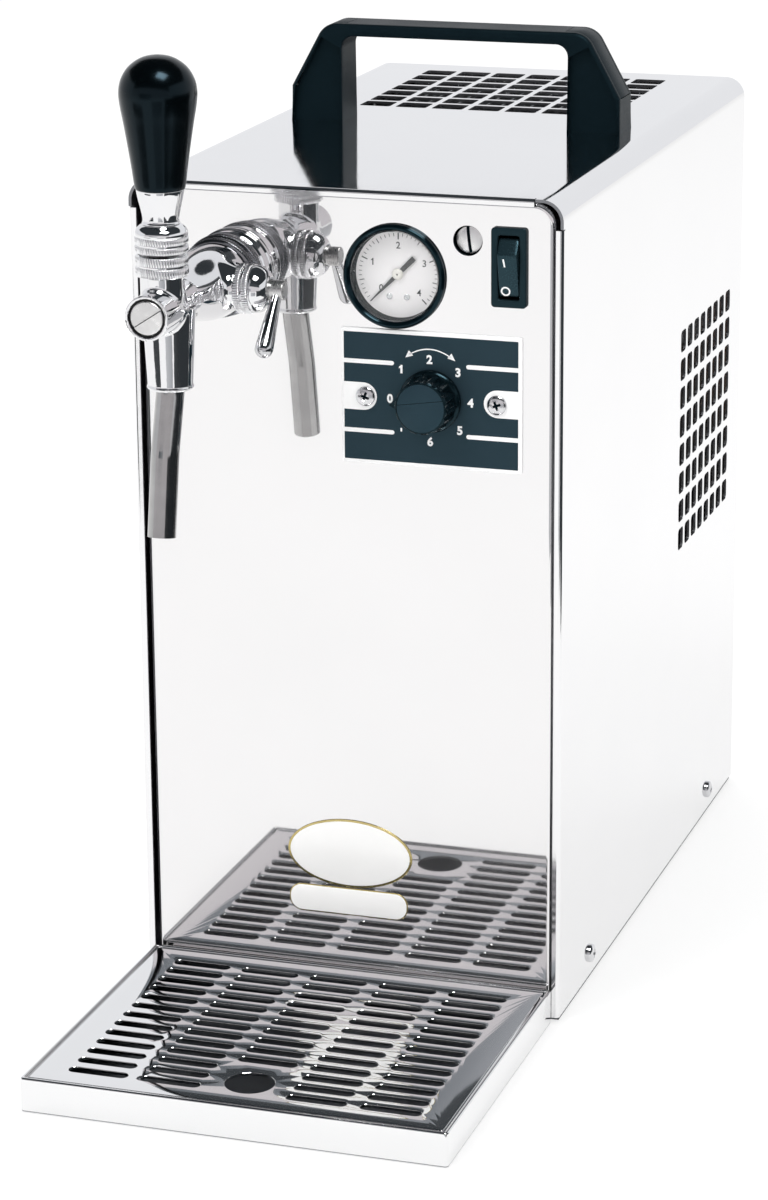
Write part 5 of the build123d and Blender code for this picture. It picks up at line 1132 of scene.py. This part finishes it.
def tap_fittings():
    """Front plug, nut on the neck, and the lever with its ball, cup, cone and pear."""
    nose = ahead(BARREL_OUT)
    disc = eased([(0, -2.4), (6.35, -2.4), (6.35, -0.35), (6.05, -0.05), (0, 0)], 0.15)
    plug = subtracted(lathe(disc, ORIGIN, 96), slab(box(0.5, 8), (), -1.0, 1.0))
    place = nose @ spun(-57.0)
    piece("barrel_plug", moved(plug, place), plug_steel, stands_for=("front_plug",))
    # Dark strip in the plug's slot: painted shade.
    slot_shade = slab([(0.2, -6.0), (0.48, -6.0), (0.48, 6.0), (0.2, 6.0)], (), -0.9, -0.4, 0.0, place)
    piece("plug_slot_painted_shade", slot_shade, matt_black_and_painted_shade)

    seal = [(6.05, -2.35), (7.25, -2.35), (7.25, -1.5), (6.4, -1.5), (6.4, -2.0), (6.05, -2.0)]
    piece("plug_seal", turned_ring(seal, nose, 96, 0.1, 2), rubber_black)

    upright = spot(PIVOT)
    nut = [(8.25, -3.1), (9.4, -3.1)] + knurled(-2.9, 0.5, 9.9) + [(9.25, 0.7), (9.25, 1.1)]
    nut += knurled(1.3, 4.6, 9.9) + [(9.0, 5.0), (8.4, 5.1), (6.0, 3.4), (6.0, 0.0), (8.25, -0.7)]
    piece("lever_nut", knurled_ring(nut, upright), chrome,
          stands_for=("neck_nut",), sharp=50)

    pivot = [(0, -7.2)] + ball(0.0, 7.2, 15, 160, 10) + [(2.6, 6.9), (2.6, 20.0), (0, 20.0)]
    finger = [(0, -16.6)] + ball(-14.3, 2.4, 20, 150, 10) + [(1.5, -12.0), (1.5, -6.0), (0, -6.0)]
    piece("lever_pivot", joined(lathe(pivot, upright, 64), lathe(finger, upright, 32)), fastener,
          "tap_lever", ("lever_ball",))

    collar = [(9.27, 5.78)] + knurled(5.78, 8.35, 9.95) + [(9.2, 8.55), (9.2, 8.95)]
    collar += knurled(9.15, 11.7, 9.95) + [(9.75, 12.0), (9.85, 12.6), (9.7, 13.6), (9.1, 14.6), (8.1, 15.5),
                                           (7.2, 16.0), (6.4, 16.2), (2.7, 16.2), (2.7, 11.6), (6.0, 9.9), (8.0, 8.2)]
    piece("lever_cup", knurled_ring(collar, upright), chrome, "tap_lever",
          ("lever_collar",), sharp=50)

    ferrule = [(2.7, 16.15), (7.0, 16.15), (7.1, 16.5), (6.75, 17.1), (6.7, 18.0), (7.0, 20.0), (7.55, 22.4),
               (8.2, 25.0), (8.8, 28.0), (8.9, 29.1), (2.7, 29.1)]
    piece("lever_cone", turned_ring(ferrule, upright, 128, 0.3), chrome, "tap_lever",
          ("lever_ferrule",), sharp=50)

    base, tall = 29.2, 48.8
    marks = ((0.0, 8.7), (0.6, 9.35), (8.0, 10.35), (16.0, 11.55), (24.0, 12.85), (29.0, 13.75), (32.6, 14.25),
             (35.0, 14.38), (37.7, 14.1), (40.6, 13.2), (43.6, 11.4), (45.8, 9.1), (47.5, 6.3), (48.4, 3.4),
             (tall, 0.0))
    padded = marks[:1] + marks + marks[-1:]
    outline = [(0.0, base)]
    for four in zip(padded, padded[1:], padded[2:], padded[3:]):
        for t in (k / 5 for k in range(5)):
            up, radius = (0.5 * (2 * b + (c - a) * t + (2 * a - 5 * b + 4 * c - d) * t ** 2
                                 + (3 * b - a - 3 * c + d) * t ** 3) for a, b, c, d in zip(*four))
            outline.append((max(radius, 0.0), base + up))
    piece("lever_pear", lathe(outline + [(0.0, base + tall)], upright, 160), pear_black, "tap_lever",
          ("lever_handle",), sharp=50)


def compensator():
    """Cap, hub and small lever on the tap's side arm."""
    place = sideways(ARM_OUT)
    cap = [(2.6, 14.3), (8.7, 14.3), (9.1, 14.5)] + knurled(14.75, 17.2, 9.6) + [(8.95, 17.4), (8.95, 17.8)]
    cap += knurled(18.0, 20.3, 9.6) + [(9.0, 20.45), (9.15, 20.9), (9.1, 21.9), (8.75, 23.1), (8.1, 24.4),
                                       (7.2, 25.6), (6.1, 26.5), (5.2, 26.9), (4.1, 26.9), (4.1, 24.6), (2.6, 24.6)]
    piece("side_cap", knurled_ring(cap, place, depth=0.48), chrome,
          stands_for=("compensator_cap",), sharp=50)

    hub = eased([(0, 20.0), (2.4, 20.0), (2.4, 24.9), (3.8, 24.9), (3.8, 32.2), (3.5, 32.5), (0, 32.5)], 0.25)
    shaft = lathe([(0, 5.4), (2.4, 5.4), (2.4, 20.2), (0, 20.2)], place, 32)
    pin = lathe([(0, 0.3), (1.2, 0.3), (1.2, 6.0), (0, 6.0)], sideways(ARM_OUT, TAP[2] + 3.0), 24)
    piece("side_hub", joined(lathe(hub, place, 96), shaft, pin), brushed, "compensator_arm",
          ("compensator_hub",))

    away = (0, -sin(radians(40.5)), -cos(radians(40.5)))
    root = (TAP[0] + 29.6, behind(-ARM_OUT), TAP[2])
    outline = [(0, 2.9), (2.1, 2.9), (2.1, 4.3), (2.2, 6.0), (2.5, 10.0), (2.9, 15.0), (3.25, 20.0), (3.48, 23.6),
               (3.5, 25.1)]
    outline += [(3.5 * cos(radians(a)), 25.1 + 3.5 * sin(radians(a))) for a in range(12, 90, 13)] + [(0, 28.6)]
    piece("side_lever", lathe(outline, spot(root, away), 64), soft_chrome, "compensator_arm",
          ("compensator_lever",), sharp=50)


def coupling():
    """Rings between the tap and the panel, and the shank behind it."""
    place = ahead(8.4)
    ring = [(8.6, 0), (14.9, 0), (15.6, 0.3)] + knurled(0.5, 4.0, 16.0, 0.4) + [(14.7, 4.4), (14.5, 5.2)]
    ring += knurled(5.6, 9.1, 15.4, 0.3) + [(14.6, 9.5), (12.0, 9.6), (8.6, 9.6)]
    # The rings take darkened chrome: painted shade for their dark reflections.
    piece("coupling_ring", knurled_ring(ring, place, 90), painted_shade_chrome,
          stands_for=("coupling_nut",), sharp=50)
    tail = [(8.6, -0.05), (15.3, -0.05), (15.6, -0.4), (15.6, -1.2), (14.9, -1.8), (14.9, -2.8), (15.6, -3.4),
            (15.6, -7.6), (15.9, -8.0), (16.2, -8.4), (16.2, -10.35), (11.0, -10.35), (11.0, -50.0), (3.15, -50.0),
            (3.15, -57.0), (2.4, -57.0), (2.4, -47.0), (8.6, -47.0)]
    piece("panel_collar", turned_ring(tail, place, 160, 0.25), chrome,
          stands_for=("tap_shank",), sharp=50)


def spout():
    bends = ((OUTLET_OUT, 17.0), (OUTLET_OUT, 31.0), (75.6, 55.0), (81.0, 85.4))
    path = bent_path([(TAP[0], behind(-distance), TAP[2] - drop) for distance, drop in bends], 24.0, 14)
    piece("spout_tube", tube(path, 5.35, 4.55, 64), tube_steel, stands_for=("spout",), sharp=50)


# ---------------------------------------------------------------- drip tray and grille
def drip_tray():
    """Shallow tray with a rolled rim and a ledge for the grille."""
    def skin(*levels, **ends):
        """Skin over outlines of the tray, each with its inset, height and corner radius."""
        return tower([[(x, y, z) for x, y in rounded(0, TRAY_MIDDLE, 169.2 - 2 * cut, 141.0 - 2 * cut, radius, 5)]
                      for cut, z, radius in levels], **ends)

    sole = skin((0.5, 0.0, 1.2), (0.1, 0.12, 1.4), (0.0, 0.5, 1.5), close_end=False)
    # The sole is darkened steel: a painted shadow line where the tray meets the floor.
    piece("tray_sole", sole, painted_shade_steel, "tray", sharp=45)
    wall = skin((0.0, 0.5, 1.5), (0.0, 13.1, 1.5), (0.18, 13.52, 1.4), (0.6, 13.7, 1.2), (1.1, 13.7, 1.0),
                (1.45, 13.55, 0.8), (1.6, 13.2, 0.7), (1.6, 12.1, 0.7), (5.0, 12.1, 0.6),
                close_start=False, close_end=False)
    pan = skin((5.0, 12.1, 0.6), (5.0, 10.9, 0.6), (1.6, 10.9, 0.7), (1.6, 2.2, 0.7), (2.0, 1.5, 0.6),
               (2.8, 1.2, 0.5), close_start=False)
    piece("tray", wall, tray_steel, "tray", ("drip_tray",), sharp=45)
    # The pan inside the tray is painted dark as shade under the grille.
    piece("tray_pan", pan, painted_shade_pan, "tray", sharp=45, outward=False)


def drip_grille():
    """Slotted plate with a finger hole near its front edge."""
    finger_out, finger_gap = 119.0, 14.6
    holes = [circle(0, behind(-finger_out), 9.6, 72)]
    for column in range(5):
        for distance in (15.0 + row * 9.3 for row in range(13)):
            if column != 2 or abs(distance - finger_out) > finger_gap:
                holes.append(rounded((column - 2) * 29.1, behind(-distance), 24.0, 5.0, 2.49, 8))
    plate = slab(rounded(0, TRAY_MIDDLE, 163.8, 135.6, 0.8, 3), holes, 12.1, 13.3, 0.22)
    piece("grille", plate, grille_steel, "grille", ("drip_grille",), sharp=20)


# ---------------------------------------------------------------- build
for build in (cover, front_sheet, body_screws, carry_handle, label_plate, knob, gauge, rocker_switch, pressure_screw,
              badges, tap_body, tap_fittings, compensator, coupling, spout, drip_tray, drip_grille):
    build()

keep(rear_steel, "rear_panel", ease=0.3)
keep(zinc, "base_plate")
keep(rubber_black, "feet", "pump_feet", "compressor_mounts", "valve_seal")
keep(fastener, "handle_bolts", "valve_rod")
keep(case_grey, "thermostat_body")
keep(brass, "shank_nut")
keep(knob_black, "compensator_cone")
keep(cast, "cooling_block")
keep(foam, "insulation_box", "insulation_lid")
keep(can_black, "compressor")
keep(fins, "condenser")
keep(fan_black, "fan_frame", "fan_rotor")
keep(pump_grey, "fan_motor", "air_pump")
keep(copper, "refrigerant_lines", "filter_drier")
keep(tube_white, "beer_tubes")
keep(tube_blue, "air_tubes")
keep(gland_black, "check_valve", "cord_gland")
keep(chrome, "beer_inlet", "air_outlet")


# ---------------------------------------------------------------- studio in metres: floor, lamps and camera
def glowing(name, colour, strength):
    """Material that only shines, and the node that makes it shine."""
    made = Nodes(bpy.data.materials.new(name))
    glow = made.glow(colour, strength)
    made.surface(glow.outputs[0])
    return made, glow


def stage_plane(name, corners, material):
    mesh = meshed(name, corners, [(0, 1, 2, 3)])
    mesh.materials.append(material)
    return placed(name, mesh)


def lying(x0, y0, x1, y1, z):
    """Corners of a level rectangle."""
    return [(x0, y0, z), (x1, y0, z), (x1, y1, z), (x0, y1, z)]


def standing(x0, y0, x1, y1, low, high):
    """Corners of an upright rectangle that stands on a line."""
    return [(x0, y0, low), (x1, y1, low), (x1, y1, high), (x0, y0, high)]


def studio_floor():
    """Pale floor that keeps a soft shadow and runs out into the white backdrop, with a painted shadow under the
    cabinet.
    """
    made = Nodes(bpy.data.materials.new("pale_floor"))
    matt = made.node("ShaderNodeBsdfDiffuse", {"Color": (0.92, 0.92, 0.92, 1)}).outputs[0]
    rays = made.node("ShaderNodeLightPath").outputs
    seen = made.maths("MAXIMUM", rays["Is Camera Ray"], rays["Is Glossy Ray"])
    share = made.maths("MULTIPLY", made.maths("MAXIMUM", seen, rays["Is Transmission Ray"]), 0.62)
    made.surface(made.mixed(share, matt, made.glow((1, 1, 1), 1.1).outputs[0]))
    floor = stage_plane("studio_floor", lying(-9, -9, 9, 9, -0.0003), made.owner)
    # Painted shadow: a dark glowing sheet just above the floor, under the cabinet.
    under = glowing("floor_shade", (0.03, 0.033, 0.036), 1.0)[0].owner
    stage_plane("floor_painted_shadow", lying(-0.0869, -0.09, 0.0869, 0.2124, 0.0003), under)


def card(name, corners, colour, strength=1.0, far=None):
    """Studio card that only reflections see; its colour may run to another along X."""
    made, glow = glowing(name, colour, strength)
    if far:
        across = [x for x, _, _ in corners]
        place = made.node("ShaderNodeTexCoord").outputs["Object"]
        along = made.node("ShaderNodeSeparateXYZ", {0: place}).outputs["X"]
        sockets = {"From Min": min(across), "From Max": max(across), "Value": along}
        share = made.node("ShaderNodeMapRange", sockets).outputs["Result"]
        ramp = made.node("ShaderNodeValToRGB", {0: share})
        for element, end in zip(ramp.color_ramp.elements, (colour, far)):
            element.color = (*end, 1)
        made.tree.links.new(ramp.outputs["Color"], glow.inputs["Color"])
    obj = stage_plane(name, corners, made.owner)
    obj.visible_camera = False
    obj.visible_diffuse = False
    obj.visible_shadow = False
    obj.visible_transmission = False


def world():
    """White to the camera, a soft light on surfaces and a faintly grey sweep in reflections."""
    made = Nodes(bpy.data.worlds.new("studio"), "ShaderNodeOutputWorld")
    bpy.context.scene.world = made.owner
    rays = made.node("ShaderNodeLightPath").outputs

    def background(colour, strength):
        return made.node("ShaderNodeBackground", {"Color": (*colour, 1), "Strength": strength}).outputs[0]

    white = background((1, 1, 1), 1.0)
    light = made.mixed(rays["Is Glossy Ray"], background((1, 1, 1), 0.8), background((0.88, 0.89, 0.915), 1.0))
    for ray in ("Is Transmission Ray", "Is Camera Ray"):
        light = made.mixed(rays[ray], light, white)
    made.surface(light)


def lamp(name, place, aim, size, watts):
    data = bpy.data.lights.new(name, "AREA")
    data.shape = "RECTANGLE"
    data.size, data.size_y = size
    data.energy = watts
    obj = placed(name, data)
    obj.location = place
    obj.rotation_euler = (Vector(aim) - Vector(place)).to_track_quat("-Z", "Y").to_euler()
    obj.visible_glossy = False


def camera():
    """Camera solved from the photograph's straight edges; its focal length is in pixels of a 1200 high frame."""
    yaw, pitch, roll = radians(-18.119), radians(16.814), radians(-0.433)
    focal, frame_high, sensor = 3760.4, 1200.0, 24.0
    along = Vector((sin(yaw) * cos(pitch), cos(yaw) * cos(pitch), -sin(pitch)))
    right = Vector((cos(yaw), -sin(yaw), 0))
    up = right.cross(along)
    right, up = right * cos(roll) + up * sin(roll), up * cos(roll) - right * sin(roll)
    data = bpy.data.cameras.new("camera")
    data.sensor_fit = "VERTICAL"
    data.sensor_height = sensor
    data.lens = focal / frame_high * sensor
    data.clip_start, data.clip_end = 0.05, 50.0
    obj = placed("camera", data)
    turn = Matrix((right, up, -along)).transposed().to_4x4()
    turn.translation = (0.4539, -1.4315, 0.5958)
    obj.matrix_world = turn
    bpy.context.scene.camera = obj


studio_floor()
world()
card("dark_room", standing(-6.0, -4.2, 6.0, -4.2, 1.95, 3.4), (0.06, 0.068, 0.075))
card("dark_ceiling", lying(-6.0, -4.2, 6.0, 3.0, 3.4), (0.035, 0.04, 0.045))
card("pale_front", standing(-6.0, -4.21, 6.0, -4.21, 0.0, 1.95), (0.76, 0.73, 0.75))
card("slate_front", standing(-0.42, -0.75, -0.02, -0.75, 0.302, 0.42), (0.13, 0.15, 0.17), far=(0.42, 0.44, 0.47))
card("soft_front", standing(-0.02, -0.80, 0.34, -0.74, 0.0, 0.22), (0.62, 0.63, 0.65), far=(0.42, 0.43, 0.45))
card("front_flag", standing(0.34, -0.62, 0.64, -0.5, 0.0, 0.3), (0.07, 0.075, 0.08), far=(0.03, 0.033, 0.036))
card("right_flag", standing(0.64, -0.5, 0.58, 0.3, 0.0, 0.35), (0.035, 0.04, 0.045))
card("left_flag", standing(-0.36, -0.75, -0.80, -0.60, 0.0, 0.12), (0.06, 0.065, 0.07))
card("top_light", lying(0.15, -1.05, 0.85, -0.45, 1.7), (1.0, 1.0, 1.0), 16.0)
lamp("key", (-0.9, -1.5, 2.4), (0, 0, 0.15), (1.2, 1.2), 28.0)
lamp("fill", (1.8, -0.6, 1.9), (0, 0, 0.15), (1.2, 1.6), 17.0)
lamp("rim", (-0.6, 1.9, 2.2), (0, 0, 0.15), (1.6, 1.0), 16.0)
camera()
bpy.context.scene.view_settings.view_transform = "Standard"
